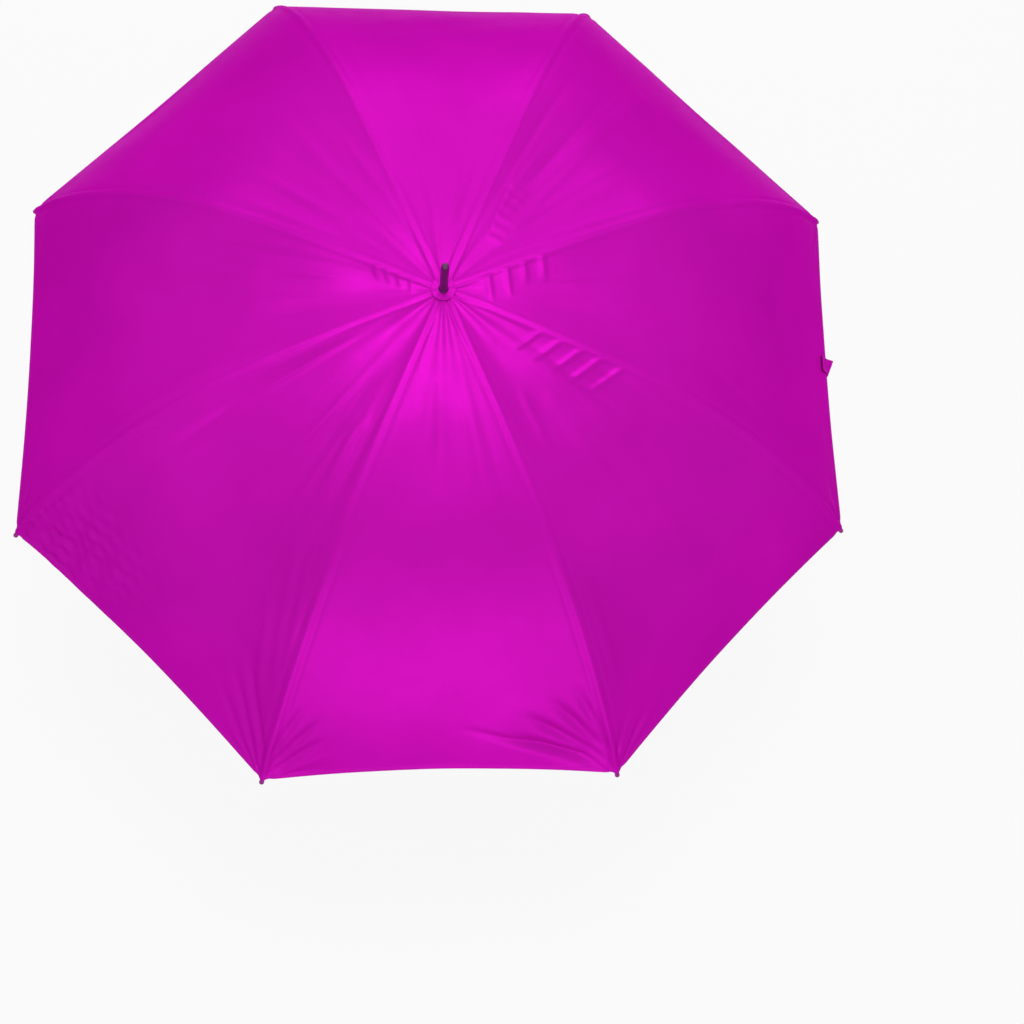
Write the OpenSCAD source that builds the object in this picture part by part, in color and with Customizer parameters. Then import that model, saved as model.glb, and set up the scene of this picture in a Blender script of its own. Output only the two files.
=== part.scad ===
// Stick umbrella with a silver lined canopy: eight folding ribs, sliding runner, foam grip.
// Millimetres. Z runs up the shaft, and Z = 0 is the lower end of the grip's straight wall.

/* [Shaft] */
// Outside diameter of the shaft tube
shaft_d = 14; // [10:0.5:18]
// Wall of the shaft tube
shaft_wall = 1; // [0.6:0.1:2]
// Diameter of the turned-down top that carries the ferrule
spigot_d = 7; // [5:0.5:8]
// Length of the turned-down top above the notch
spigot_len = 44; // [25:1:60]

/* [Handle] */
// Diameter of the foam grip
grip_d = 36; // [28:0.5:44]
// Length of the straight wall of the foam grip
grip_len = 140; // [100:1:200]
// Rounding at both ends of the foam grip
grip_round = 3; // [1:0.5:6]
// Thickness of the end cap under the grip
end_cap_t = 6; // [3:0.5:10]
// Depth of the end cap's plug inside the shaft
plug_len = 18; // [8:1:30]
// Height of the collar above the grip
collar_h = 6; // [3:0.5:12]
// Wall of the collar at its top
collar_wall = 2.4; // [1.5:0.1:5]
// How far the end cap stays inside the grip
cap_inset = 1; // [0.5:0.1:3]
// Chamfer on moulded edges
edge = 1; // [0.4:0.1:1.6]
// Clearance between the grip pieces and the shaft, on the radius
grip_fit = 0.05; // [0:0.01:0.2]

/* [Frame] */
// Gap between the closed runner and the collar on the handle
closed_gap = 15.6; // [5:0.2:60]
// Distance of the notch and runner pivots from the shaft axis
pivot_r = 11; // [10:0.25:14]
// Pivot to pivot length of a stretcher and of the inner rib
link_len = 295; // [250:1:330]
// Slope of the inner rib below level when open, in degrees
open_slope = 5.25; // [4:0.25:9]
// Lean of the inner rib from the shaft when closed, in degrees
closed_lean = 2.5; // [2:0.25:5]
// Diameter of the wire rings in the notch and runner
wire_d = 1.2; // [0.8:0.1:1.6]
// Thickness of the flattened eyes on ribs and stretchers
blade_t = 2; // [1.2:0.1:2.6]
// Outside radius of an eye
eye_r = 2.1; // [1.6:0.1:2.4]
// Clearance on each side of an eye in its slot
slot_fit = 0.25; // [0.15:0.05:0.5]
// Clearance of a pivot in its eye, on the radius
pivot_fit = 0.1; // [0.06:0.01:0.2]

/* [Ribs] */
// Width of the inner rib channel
bar_w = 4; // [3:0.1:5]
// Height of the inner rib channel
bar_h = 4.5; // [3.5:0.1:6]
// Sheet thickness of rib and stretcher channels
sheet_t = 0.8; // [0.5:0.1:1.2]
// Height of the inner rib above its pivot line
bar_rise = 5; // [4.5:0.1:7]
// Distance from the notch pivot to the start of the channel
bar_start = 14; // [12:0.5:20]
// How far the rib's flattened neck laps the channel
neck_lap = 6; // [4:0.5:9]
// Bend of the inner rib from end to end, in degrees
bar_turn = 15; // [8:0.5:18]
// Distance of the rod socket beyond the stretcher pivot
socket_reach = 9; // [7:0.5:14]
// Wall of the joint clip around the channel
clip_wall = 1.15; // [0.8:0.05:2]
// Length of the joint clip
clip_len = 20; // [17:0.5:30]
// Radius of the rivet that carries the stretcher
rivet_r = 1.1; // [0.7:0.1:1.4]
// Thickness of a rivet head
rivet_head_t = 0.8; // [0.4:0.1:1.2]
// Wall of the clip's ears around the stretcher's eye
ear_wall = 0.9; // [0.6:0.1:1.6]
// Solid length of the clip behind the rod
socket_wall = 3; // [2:0.25:5]
// How far the clip's top stays under the top of the channel
clip_drop = 0.2; // [0.1:0.05:0.5]
// Diameter of the outer rib rod
rod_d = 4; // [3:0.1:5]
// How much thinner the rod is beyond its bend, on the diameter
rod_taper = 0.3; // [0.1:0.05:0.8]
// Slope of the rod where it leaves its socket, in degrees
rod_slope_in = 18.5; // [15:0.5:22]
// Slope of the rod where its bend eases, in degrees
rod_slope_mid = 37; // [33:0.5:42]
// Slope of the rod at its tip, in degrees
rod_slope_out = 59.5; // [54:0.5:66]
// Distance of the rod ends from the shaft axis
tip_radius = 634; // [560:1:720]
// Drop of the rod ends below the pivots in the top notch
rim_drop = 302; // [240:1:360]
// Diameter of the tip cap
tip_d = 7; // [5.5:0.1:9]
// Length of the tip cap
tip_len = 13; // [9:0.5:20]
// Solid depth of the tip cap beyond the rod
tip_floor = 2; // [1:0.25:4]
// Diameter of the tip cap at its mouth
tip_mouth_d = 6.2; // [5.2:0.1:8]
// Clearance of the rod in its socket and tip, on the radius
rod_fit = 0.1; // [0.05:0.01:0.3]

/* [Stretchers] */
// Width of the stretcher channel
stretcher_w = 3.4; // [2.6:0.1:4]
// Height of the stretcher channel
stretcher_h = 3.6; // [3:0.1:4.2]
// Length of the flattened end at the rib joint
blade_len = 13; // [10:0.5:20]
// Length of the flattened end that runs in the runner's channel
foot_len = 40; // [38:0.5:70]
// How far a flattened end reaches into the channel
blade_lap = 4; // [2:0.5:8]

/* [Notch and runner] */
// Outside diameter of the notch and of the runner crown
crown_d = 28; // [26:0.5:34]
// Height of the notch below its pivots
notch_below = 6; // [4:0.25:9]
// Height of the notch above its pivots
notch_above = 5.4; // [4:0.1:5.6]
// Height of the runner crown above its pivots
crown_above = 6; // [4:0.25:9]
// Height of the runner crown below its pivots
crown_below = 7; // [5:0.25:10]
// Diameter of the runner neck
neck_d = 24.4; // [23:0.2:28]
// Distance from the runner pivots to the top of the thumb collar
neck_len = 40; // [25:1:50]
// Diameter of the thumb collar
thumb_d = 34; // [30:0.5:40]
// Height of the thumb collar
thumb_h = 15; // [10:0.5:20]
// Diameter of the runner sleeve under the collar
sleeve_d = 29; // [25:0.5:30]
// Diameter of the lower end of the runner sleeve
sleeve_end_d = 22.4; // [21.6:0.2:26]
// Length of the runner below its pivots
runner_len = 118; // [95:1:130]
// Running clearance of the runner on the shaft, on the radius
runner_fit = 0.25; // [0.15:0.05:0.4]
// Depth of material between the shaft bore and a stretcher channel
runner_web = 1.3; // [0.8:0.1:1.5]

/* [Top catch] */
// Thickness of the spring catch plate
catch_t = 2; // [1.2:0.1:2.6]
// Height of the catch nose
catch_h = 24; // [16:0.5:34]
// How far the catch nose stands out of the shaft
catch_out = 2.3; // [1.5:0.1:2.6]
// Press-in travel of the catch
catch_travel = 2.4; // [1.6:0.1:2.8]
// Clearance around the catch
catch_fit = 0.25; // [0.15:0.05:0.4]
// Width of the catch's spring plate
catch_web = 3; // [2:0.1:4]

/* [Canopy] */
// Thickness of a canopy panel
cloth_t = 0.6; // [0.4:0.05:1]
// Clearance between the canopy and the rib under it
cloth_fit = 0.6; // [0.5:0.05:0.9]
// Gap left along the folds between canopy panels
seam_gap = 0.6; // [0.4:0.05:0.9]
// Distance of the canopy's inner edge from the shaft axis
cloth_hole_r = 13; // [12:0.25:20]
// Dip of the cloth between two ribs, inside the rib joints
inner_dip = 4; // [0:0.5:5]
// Dip of the cloth between two ribs, outside the rib joints
outer_dip = 9; // [0:0.5:20]
// How far the hem draws in between two tips
hem_draw = 18; // [0:0.5:30]
// Radius of the cloth rosette at the crown
rosette_r = 16; // [14:0.25:24]
// Thickness of the cloth rosette
rosette_t = 1; // [0.6:0.1:2]

/* [Ferrule] */
// Outside diameter of the ferrule
ferrule_d = 10.5; // [9.5:0.25:15]
// Length of the ferrule above the rosette
ferrule_len = 74; // [58:1:95]
// Diameter of the ferrule's foot
ferrule_foot_d = 13; // [12:0.5:20]
// Height of the ferrule's foot
ferrule_foot_h = 2.4; // [1.5:0.1:4]
// Length of the ferrule's rounded nose
ferrule_nose = 10; // [6:0.5:16]

/* [Tie strap] */
// Width of the tie strap
strap_w = 24; // [16:0.5:34]
// Thickness of the tie strap
strap_t = 1.2; // [0.8:0.1:2]
// Length of the strap sewn on the panel
strap_sewn = 22; // [14:0.5:30]
// Length of the strap that hangs below the hem
strap_hang = 95; // [50:1:150]
// Radius of the strap's bend over the hem
strap_bend_r = 22; // [12:0.5:40]

/* [Hidden] */
$fn = 72;
arc_fn = 1440;
ribs = 8;
pitch = 360 / ribs;
half_pitch = pitch / 2;
numbers = [for (k = [1:ribs]) k];
eps = 0.01;
cut = 40;

// Shaft and handle
shaft_r = shaft_d / 2;
grip_r = grip_d / 2;
grip_low = -grip_round;
grip_top = grip_len + grip_round;

// Linkage: the inner rib and the stretcher are equal, so the stretcher foot stays over the runner pivot
closed_z = grip_top + collar_h + closed_gap + runner_len;
notch_z = closed_z + 2 * link_len * cos(closed_lean);
runner_z = notch_z - 2 * link_len * sin(open_slope);
rim_z = notch_z - rim_drop;
link_dir = [cos(open_slope), -sin(open_slope)];
link_up = [sin(open_slope), cos(open_slope)];
notch_pivot = [pivot_r, notch_z];
joint_pivot = notch_pivot + link_len * link_dir;
slot_w = blade_t + 2 * slot_fit;
wire_r = wire_d / 2;
wire_bore = wire_r + pivot_fit;
rivet_bore = rivet_r + pivot_fit;
blade_half = 0.8 * eye_r;
notch_top = notch_z + notch_above;
shaft_top = notch_top + spigot_len;

// Inner rib: an arc parallel to the pivot line, from the notch to the rod socket
bar_from = notch_pivot + bar_start * link_dir + bar_rise * link_up;
socket = joint_pivot + socket_reach * link_dir + bar_rise * link_up;
bar_chord = link_len + socket_reach - bar_start;
bar_slope_in = open_slope - bar_turn / 2;
bar_slope_out = open_slope + bar_turn / 2;
bar_rho = bar_chord / (2 * sin(bar_turn / 2));

// Outer rib rod: two arcs, whose lengths bring it to the rim
rod_r = rod_d / 2;
rod_end_r = (rod_d - rod_taper) / 2;
rod_lap = 1;
rod_run = [tip_radius, rim_z] - socket;
mean_a = (rod_slope_in + rod_slope_mid) / 2;
mean_b = (rod_slope_mid + rod_slope_out) / 2;
mean_det = sin(mean_b - mean_a);
chord_a = (rod_run[0] * sin(mean_b) + rod_run[1] * cos(mean_b)) / mean_det;
chord_b = -(rod_run[0] * sin(mean_a) + rod_run[1] * cos(mean_a)) / mean_det;
rho_a = chord_a / (2 * sin((rod_slope_mid - rod_slope_in) / 2));
rho_b = chord_b / (2 * sin((rod_slope_out - rod_slope_mid) / 2));
rod_knee = on_arc(socket, rod_slope_in, rho_a, rod_slope_mid, 0);
cup_r = rod_r + 4 * rod_fit;
tip_cover = tip_len - tip_d / 2 - tip_floor;

// Joint clip: the stretcher pivot seen from the socket, along and across the rib's end
clip_tan = [cos(bar_slope_out), -sin(bar_slope_out)];
clip_up = [sin(bar_slope_out), cos(bar_slope_out)];
pivot_from_socket = joint_pivot - socket;
pivot_along = pivot_from_socket * clip_tan;
pivot_up = pivot_from_socket * clip_up;
clip_half = bar_w / 2 + clip_wall;
clip_floor = -bar_h / 2 - clip_wall;
ear_r = eye_r + ear_wall;
rivet_head_r = 1.9 * rivet_r;

// Runner
bore_r = shaft_r + runner_fit;
channel_floor = bore_r + runner_web;
runner_low = runner_z - runner_len;

// Top catch, just under the open runner
catch_top = runner_low - catch_fit;
catch_low = catch_top - catch_h;
catch_back = -shaft_r + shaft_wall + catch_travel + catch_fit;
groove_r = shaft_r + catch_out + catch_fit;

// Canopy: the panels follow the ribs at this height
cloth_in = bar_h / 2 + cloth_fit;
hole_slope = bar_slope_in - asin((bar_from[0] - cloth_hole_r) / bar_rho);
hem_back = tip_cover + seam_gap;
hem_slope = rod_slope_out - hem_back / rho_b * 180 / PI;
inner_steps = 8;
outer_steps_a = 4;
outer_steps_b = 6;
side_steps = 4;
rosette_z = notch_z + bar_rise + cloth_in + cloth_t;
ferrule_z = rosette_z + rosette_t;
strap_rib = 1;
bend_steps = 6;
nose_steps = 8;

// A point on an arc that starts at p with slope s0: the point of slope s, raised by n
function on_arc(p, s0, rho, s, n) =
    p + rho * [sin(s) - sin(s0), cos(s) - cos(s0)] + n * [sin(s), cos(s)];
function turn_of(k) = half_pitch + pitch * (k - 1);

// Slopes along each canopy ring, paired with the arc that they lie on
inner_stops = [for (i = [0:inner_steps]) let (q = i / inner_steps)
    [0, hole_slope + (bar_slope_out - seam_gap / bar_rho * 180 / PI - hole_slope) * q]];
ring_slope = rod_slope_in + seam_gap / rho_a * 180 / PI;
outer_stops = concat(
    [for (i = [0:outer_steps_a - 1])
        [1, ring_slope + (rod_slope_mid - ring_slope) * i / outer_steps_a]],
    [for (i = [0:outer_steps_b])
        [2, rod_slope_mid + (hem_slope - rod_slope_mid) * i / outer_steps_b]]);

// Height of the rib line at a stop
function rib_point(stop, n) =
    stop[0] == 0 ? on_arc(bar_from, bar_slope_in, bar_rho, stop[1], n)
    : stop[0] == 1 ? on_arc(socket, rod_slope_in, rho_a, stop[1], n)
    : on_arc(rod_knee, rod_slope_mid, rho_b, stop[1], n);

// A canopy point beside the rib: t runs from 0 on the rib to 0.5 on the fold between two ribs
function cloth_point(stop, share, t, side, n, depth, draw) =
    let (bow = 4 * t * (1 - t),
         a = rib_point(stop, n),
         in_plane = [a[0] * (1 - t + t * cos(pitch)), side * a[0] * t * sin(pitch), a[1]],
         out = [cos(half_pitch), side * sin(half_pitch)],
         dip = depth * sin(180 * share) * bow * bow,
         back = draw * share * share * bow)
    in_plane
        - dip * [sin(stop[1]) * out[0], sin(stop[1]) * out[1], cos(stop[1])]
        - back * [cos(stop[1]) * out[0], cos(stop[1]) * out[1], -sin(stop[1])];

// Farthest t that leaves half the seam gap before the fold
function fold_t(stop) = 0.5 - seam_gap / (4 * rib_point(stop, 0)[0] * sin(half_pitch));

// A closed cloth panel on one rib, from a list of stops
module cloth_panel(stops, depth, draw) {
    rows = len(stops);
    cols = 2 * side_steps + 1;
    skin = [
        for (n = [cloth_in, cloth_in + cloth_t])
            for (i = [0:rows - 1])
                for (j = [-side_steps:side_steps])
                    let (t = fold_t(stops[i]) * abs(j) / side_steps)
                    cloth_point(stops[i], i / (rows - 1), t, sign(j), n, depth, draw)];
    function at(layer, i, j) = layer * rows * cols + i * cols + j;
    sheets = [for (i = [0:rows - 2]) for (j = [0:cols - 2]) for (f = [
        [at(0, i, j), at(0, i + 1, j), at(0, i + 1, j + 1)],
        [at(0, i, j), at(0, i + 1, j + 1), at(0, i, j + 1)],
        [at(1, i, j), at(1, i + 1, j + 1), at(1, i + 1, j)],
        [at(1, i, j), at(1, i, j + 1), at(1, i + 1, j + 1)]]) f];
    ends = [for (j = [0:cols - 2]) for (f = [
        [at(0, 0, j), at(0, 0, j + 1), at(1, 0, j + 1)],
        [at(0, 0, j), at(1, 0, j + 1), at(1, 0, j)],
        [at(0, rows - 1, j), at(1, rows - 1, j + 1), at(0, rows - 1, j + 1)],
        [at(0, rows - 1, j), at(1, rows - 1, j), at(1, rows - 1, j + 1)]]) f];
    sides = [for (i = [0:rows - 2]) for (f = [
        [at(0, i, 0), at(1, i + 1, 0), at(0, i + 1, 0)],
        [at(0, i, 0), at(1, i, 0), at(1, i + 1, 0)],
        [at(0, i, cols - 1), at(0, i + 1, cols - 1), at(1, i + 1, cols - 1)],
        [at(0, i, cols - 1), at(1, i + 1, cols - 1), at(1, i, cols - 1)]]) f];
    polyhedron(points = skin, faces = concat(sheets, ends, sides), convexity = 6);
}

// Sweeps a flat section, drawn as height and width, along an arc in the rib's plane
module along_arc(p, s0, rho, s1) {
    translate([p[0] - rho * sin(s0), 0, p[1] - rho * cos(s0)])
        rotate([90, 0, 0])
            rotate([0, 0, 90 - s1])
                rotate_extrude(angle = s1 - s0, $fn = arc_fn)
                    translate([rho, 0])
                        children();
}

// Places a child drawn along X at a point of the rib's plane, with a downward slope
module at_slope(p, s) {
    translate([p[0], 0, p[1]])
        rotate([0, s, 0])
            children();
}

module across(r, w) {
    rotate([90, 0, 0])
        cylinder(r = r, h = w, center = true);
}

module channel_section(w, h) {
    difference() {
        square([h, w], center = true);
        translate([-sheet_t, 0])
            square([h, w - 2 * sheet_t], center = true);
    }
}

module on_rib(k) {
    rotate([0, 0, turn_of(k)])
        children();
}

module ring(outer, inner, h) {
    difference() {
        cylinder(r = outer, h = h);
        translate([0, 0, -eps])
            cylinder(r = inner, h = h + 2 * eps);
    }
}

module shaft() {
    color("#1b1b1d")
    difference() {
        union() {
            translate([0, 0, grip_low])
                cylinder(r = shaft_r, h = notch_top - grip_low);
            translate([0, 0, grip_low])
                cylinder(d = spigot_d, h = shaft_top - grip_low);
        }
        translate([0, 0, grip_low - eps])
            cylinder(r = shaft_r - shaft_wall, h = notch_z - notch_below - grip_low);
        translate([0, -catch_t / 2 - catch_fit, catch_low - catch_fit])
            cube([shaft_r + cut, catch_t + 2 * catch_fit, catch_h + 2 * catch_fit]);
    }
}

module ferrule() {
    r = ferrule_d / 2;
    foot_r = ferrule_foot_d / 2;
    nose_z = ferrule_len - ferrule_nose;
    color("#3a1238")
    translate([0, 0, ferrule_z])
    difference() {
        rotate_extrude()
            polygon(concat(
                [[0, 0], [foot_r, 0], [foot_r, ferrule_foot_h / 2], [(foot_r + r) / 2, ferrule_foot_h],
                    [r, 2 * ferrule_foot_h]],
                [for (i = [0:nose_steps]) let (a = 90 * i / nose_steps)
                    [r * cos(a), nose_z + ferrule_nose * sin(a)]]));
        translate([0, 0, -eps])
            cylinder(r = spigot_d / 2 + grip_fit, h = shaft_top - ferrule_z + grip_fit);
    }
}

module top_cap() {
    color("#c40fb0")
    translate([0, 0, rosette_z])
        ring(rosette_r, spigot_d / 2 + grip_fit, rosette_t);
}

module top_notch() {
    low = notch_z - notch_below;
    color("#2a2a2c")
    difference() {
        translate([0, 0, low])
            ring(crown_d / 2, shaft_r + grip_fit, notch_below + notch_above);
        for (k = numbers)
            on_rib(k)
                translate([pivot_r - eye_r - slot_fit, -slot_w / 2, low - cut])
                    cube([cut, slot_w, 2 * cut]);
        translate([0, 0, notch_z - wire_bore])
            ring(cut, pivot_r - wire_bore, 2 * wire_bore);
    }
}

module notch_wire() {
    color("#8c8f94")
    translate([0, 0, notch_z])
        rotate_extrude()
            translate([pivot_r, 0])
                circle(r = wire_r);
}

module handle_grip() {
    color("#161617")
    rotate_extrude()
        difference() {
            union() {
                square([grip_r, grip_len]);
                translate([0, grip_low])
                    square([grip_r - grip_round, grip_top - grip_low]);
                translate([grip_r - grip_round, 0])
                    circle(r = grip_round);
                translate([grip_r - grip_round, grip_len])
                    circle(r = grip_round);
            }
            translate([-eps, grip_low - eps])
                square([shaft_r + grip_fit + eps, grip_top - grip_low + 2 * eps]);
        }
}

module handle_collar() {
    bore = shaft_r + grip_fit;
    top_r = shaft_r + collar_wall;
    foot_r = grip_r - grip_round;
    foot_top = grip_top + collar_h / 3;
    top = grip_top + collar_h;
    color("#222224")
    rotate_extrude()
        polygon([[bore, grip_top], [foot_r, grip_top], [foot_r, foot_top], [foot_r - edge, foot_top + edge],
            [top_r + edge, top - edge], [top_r, top], [bore, top]]);
}

module handle_end_cap() {
    cap_r = grip_r - cap_inset;
    cap_low = grip_low - end_cap_t;
    plug_r = shaft_r - shaft_wall - grip_fit;
    plug_top = grip_low + plug_len;
    dome_r = 0.7 * end_cap_t;
    color("#222224")
    rotate_extrude()
        polygon(concat(
            [[0, cap_low]],
            [for (i = [0:nose_steps]) let (a = 90 * i / nose_steps)
                [cap_r - dome_r * (1 - sin(a)), cap_low + dome_r * (1 - cos(a))]],
            [[cap_r, grip_low], [plug_r, grip_low], [plug_r, plug_top - edge], [plug_r - edge, plug_top],
                [0, plug_top]]));
}

module top_catch() {
    nose = shaft_r + catch_out;
    inside = shaft_r - shaft_wall - catch_fit;
    spring = inside - catch_web;
    color("#9a9da2")
    rotate([90, 0, 0])
        linear_extrude(height = catch_t, center = true)
            polygon([[catch_back, catch_low], [inside, catch_low], [shaft_r, catch_low + catch_h / 5],
                [nose, catch_top - catch_h / 8], [nose - edge / 2, catch_top], [catch_back, catch_top],
                [catch_back, catch_top - catch_web], [spring, catch_top - catch_web - edge],
                [spring, catch_low + catch_web], [catch_back, catch_low + catch_web - edge]]);
}

module runner() {
    collar_z = runner_z - neck_len;
    sleeve_z = collar_z - thumb_h;
    crown_low = runner_z - crown_below;
    crown_top = runner_z + crown_above;
    thumb_r = thumb_d / 2;
    thumb_edge = thumb_h / 5;
    full = runner_len + crown_above + 2 * cut;
    color("#202022")
    difference() {
        rotate_extrude()
            polygon([[bore_r, runner_low], [sleeve_end_d / 2 - edge, runner_low],
                [sleeve_end_d / 2, runner_low + edge], [sleeve_d / 2, sleeve_z - thumb_edge],
                [sleeve_d / 2, sleeve_z], [thumb_r - thumb_edge / 2, sleeve_z],
                [thumb_r, sleeve_z + thumb_edge], [thumb_r, collar_z - thumb_edge],
                [thumb_r - thumb_edge / 2, collar_z], [neck_d / 2, collar_z],
                [neck_d / 2, crown_low - 2 * edge], [crown_d / 2, crown_low],
                [crown_d / 2, crown_top - edge], [crown_d / 2 - edge, crown_top], [bore_r, crown_top]]);
        for (k = numbers)
            on_rib(k)
                translate([channel_floor, -slot_w / 2, runner_low - cut])
                    cube([cut, slot_w, full]);
        translate([0, 0, runner_z - wire_bore])
            ring(cut, pivot_r - wire_bore, 2 * wire_bore);
        translate([0, -catch_t / 2 - catch_fit, runner_low - cut])
            cube([groove_r, catch_t + 2 * catch_fit, full]);
    }
}

module runner_wire() {
    land = pitch - 2 * asin((slot_w / 2 + slot_fit) / pivot_r);
    color("#8c8f94")
    translate([0, 0, runner_z])
        for (k = numbers)
            on_rib(k)
                rotate([0, 0, half_pitch - land / 2])
                    rotate_extrude(angle = land)
                        translate([pivot_r, 0])
                            circle(r = wire_r);
}

// The inner rib: channel with its eye, the joint clip, and the rivet
module rib(k) {
    on_rib(k) {
        color("#1f1f21")
        rib_channel();
        color("#2b2b2d")
        joint_clip();
        color("#85888d")
        joint_rivet();
    }
}

module rib_channel() {
    neck_r = eye_r - sheet_t;
    bar_end = bar_slope_out - (socket_wall + 2 * rod_fit) / bar_rho * 180 / PI;
    difference() {
        union() {
            along_arc(bar_from, bar_slope_in, bar_rho, bar_end)
                channel_section(bar_w, bar_h);
            at_slope(notch_pivot, open_slope) {
                across(eye_r, blade_t);
                rotate([90, 0, 0])
                    linear_extrude(height = blade_t, center = true)
                        polygon([[-neck_r * sin(30), neck_r * cos(30)], [neck_r * sin(18), -neck_r * cos(18)],
                            [bar_start + neck_lap, bar_rise - bar_h / 2 + sheet_t],
                            [bar_start + neck_lap, bar_rise],
                            [bar_start, bar_rise + bar_h / 2 - sheet_t / 2],
                            [bar_start - neck_lap, bar_rise]]);
            }
        }
        at_slope(notch_pivot, open_slope)
            across(wire_bore, 2 * blade_t);
    }
}

module joint_clip() {
    gap = rod_fit / 2;
    sag = clip_len * clip_len / (2 * bar_rho);
    at_slope(socket, bar_slope_out)
    difference() {
        union() {
            translate([-clip_len, -clip_half, clip_floor])
                cube([clip_len, 2 * clip_half, bar_h / 2 - clip_floor - clip_drop]);
            translate([pivot_along, 0, pivot_up])
                across(ear_r, 2 * clip_half);
            translate([pivot_along - ear_r, -clip_half, pivot_up])
                cube([2 * ear_r, 2 * clip_half, clip_floor - pivot_up + eps]);
        }
        translate([-clip_len - eps, -bar_w / 2 - gap, -bar_h / 2 - gap - sag])
            cube([clip_len - socket_wall, bar_w + 2 * gap, bar_h + cut]);
        translate([pivot_along - cut, -slot_w / 2, pivot_up - cut])
            cube([2 * cut, slot_w, cut + eye_r + 2 * slot_fit]);
        translate([pivot_along, 0, pivot_up])
            across(rivet_r + grip_fit, 4 * clip_half);
        sphere(r = cup_r);
    }
}

module joint_rivet() {
    head_from = clip_half + grip_fit;
    translate([joint_pivot[0], 0, joint_pivot[1]]) {
        across(rivet_r, 2 * head_from + eps);
        for (side = [-1, 1])
            translate([0, side * (head_from + rivet_head_t / 2), 0])
                across(rivet_head_r, rivet_head_t);
    }
}

// The outer rib rod, seated in the clip's cup
module rib_rod(k) {
    color("#17171a")
    on_rib(k) {
        translate([socket[0], 0, socket[1]])
            sphere(r = rod_r);
        along_arc(socket, rod_slope_in, rho_a, rod_slope_mid + rod_lap / rho_a * 180 / PI)
            circle(r = rod_r);
        along_arc(rod_knee, rod_slope_mid, rho_b, rod_slope_out)
            circle(r = rod_end_r);
    }
}

// The cap on the rod's end
module rib_tip(k) {
    color("#b5109f")
    on_rib(k)
    at_slope([tip_radius, rim_z], rod_slope_out)
    rotate([0, 90, 0])
    difference() {
        union() {
            translate([0, 0, -tip_cover])
                cylinder(d1 = tip_mouth_d, d2 = tip_d, h = tip_len - tip_d / 2);
            translate([0, 0, tip_len - tip_d / 2 - tip_cover])
                sphere(d = tip_d);
        }
        translate([0, 0, -tip_cover - eps])
            cylinder(r = rod_end_r + rod_fit, h = tip_cover + rod_fit + eps);
    }
}

// A stretcher: channel with a flattened eye at each end
module stretcher(k) {
    span = link_len - foot_len - blade_len;
    color("#1f1f21")
    on_rib(k)
    at_slope([pivot_r, runner_z], -open_slope)
    difference() {
        union() {
            translate([foot_len, 0, 0])
                rotate([90, 0, 90])
                    linear_extrude(height = span)
                        rotate([0, 0, 90])
                            channel_section(stretcher_w, stretcher_h);
            for (x = [0, link_len])
                translate([x, 0, 0])
                    across(eye_r, blade_t);
            translate([0, -blade_t / 2, -blade_half])
                cube([foot_len + blade_lap, blade_t, 2 * blade_half]);
            translate([link_len - blade_len - blade_lap, -blade_t / 2, -blade_half])
                cube([blade_len + blade_lap, blade_t, 2 * blade_half]);
        }
        across(wire_bore, 2 * blade_t);
        translate([link_len, 0, 0])
            across(rivet_bore, 2 * blade_t);
    }
}

// Cloth between the crown and the rib joint
module canopy_inner(k) {
    color("#c811b4")
    on_rib(k)
        cloth_panel(inner_stops, inner_dip, 0);
}

// Cloth between the rib joint and the hem
module canopy_outer(k) {
    color("#c811b4")
    on_rib(k)
        cloth_panel(outer_stops, outer_dip, hem_draw);
}

// The strap that ties the closed canopy, sewn on the hem between two ribs
module tie_strap() {
    last = outer_stops[len(outer_stops) - 1];
    hem = cloth_point(last, 1, 0.5, 1, cloth_in + cloth_t, outer_dip, hem_draw);
    lift = cloth_fit / 2 + strap_t / 2;
    slope = atan(tan(hem_slope) / cos(half_pitch));
    hem_at = [norm([hem[0], hem[1]]) + lift * sin(slope), hem[2] + lift * cos(slope)];
    sewn_at = hem_at - strap_sewn * [cos(slope), -sin(slope)];
    hang_at = on_arc(hem_at, slope, strap_bend_r, 90, 0) - [0, strap_hang];
    half_t = strap_t / 2;
    turns = [for (i = [0:bend_steps]) slope + (90 - slope) * i / bend_steps];
    outer_edge = [for (s = turns) on_arc(hem_at, slope, strap_bend_r, s, half_t)];
    inner_edge = [for (i = [bend_steps:-1:0]) on_arc(hem_at, slope, strap_bend_r, turns[i], -half_t)];
    across_sewn = half_t * [sin(slope), cos(slope)];
    color("#b80fa5")
    rotate([0, 0, turn_of(strap_rib) - half_pitch])
        rotate([90, 0, 0])
            linear_extrude(height = strap_w, center = true)
                polygon(concat([sewn_at + across_sewn], outer_edge, [hang_at + [half_t, 0]],
                    [hang_at - [half_t, 0]], inner_edge, [sewn_at - across_sewn]));
}

shaft();
ferrule();
top_cap();
top_notch();
notch_wire();
handle_grip();
handle_collar();
handle_end_cap();
top_catch();
runner();
runner_wire();
tie_strap();
for (k = numbers) rib(k);
for (k = numbers) rib_rod(k);
for (k = numbers) rib_tip(k);
for (k = numbers) stretcher(k);
for (k = numbers) canopy_inner(k);
for (k = numbers) canopy_outer(k);
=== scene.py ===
"""Golf umbrella held open: its cloth, grip, finishes and stage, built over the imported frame."""

import math

import bpy
import numpy as np
from mathutils import Matrix, Vector


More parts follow.
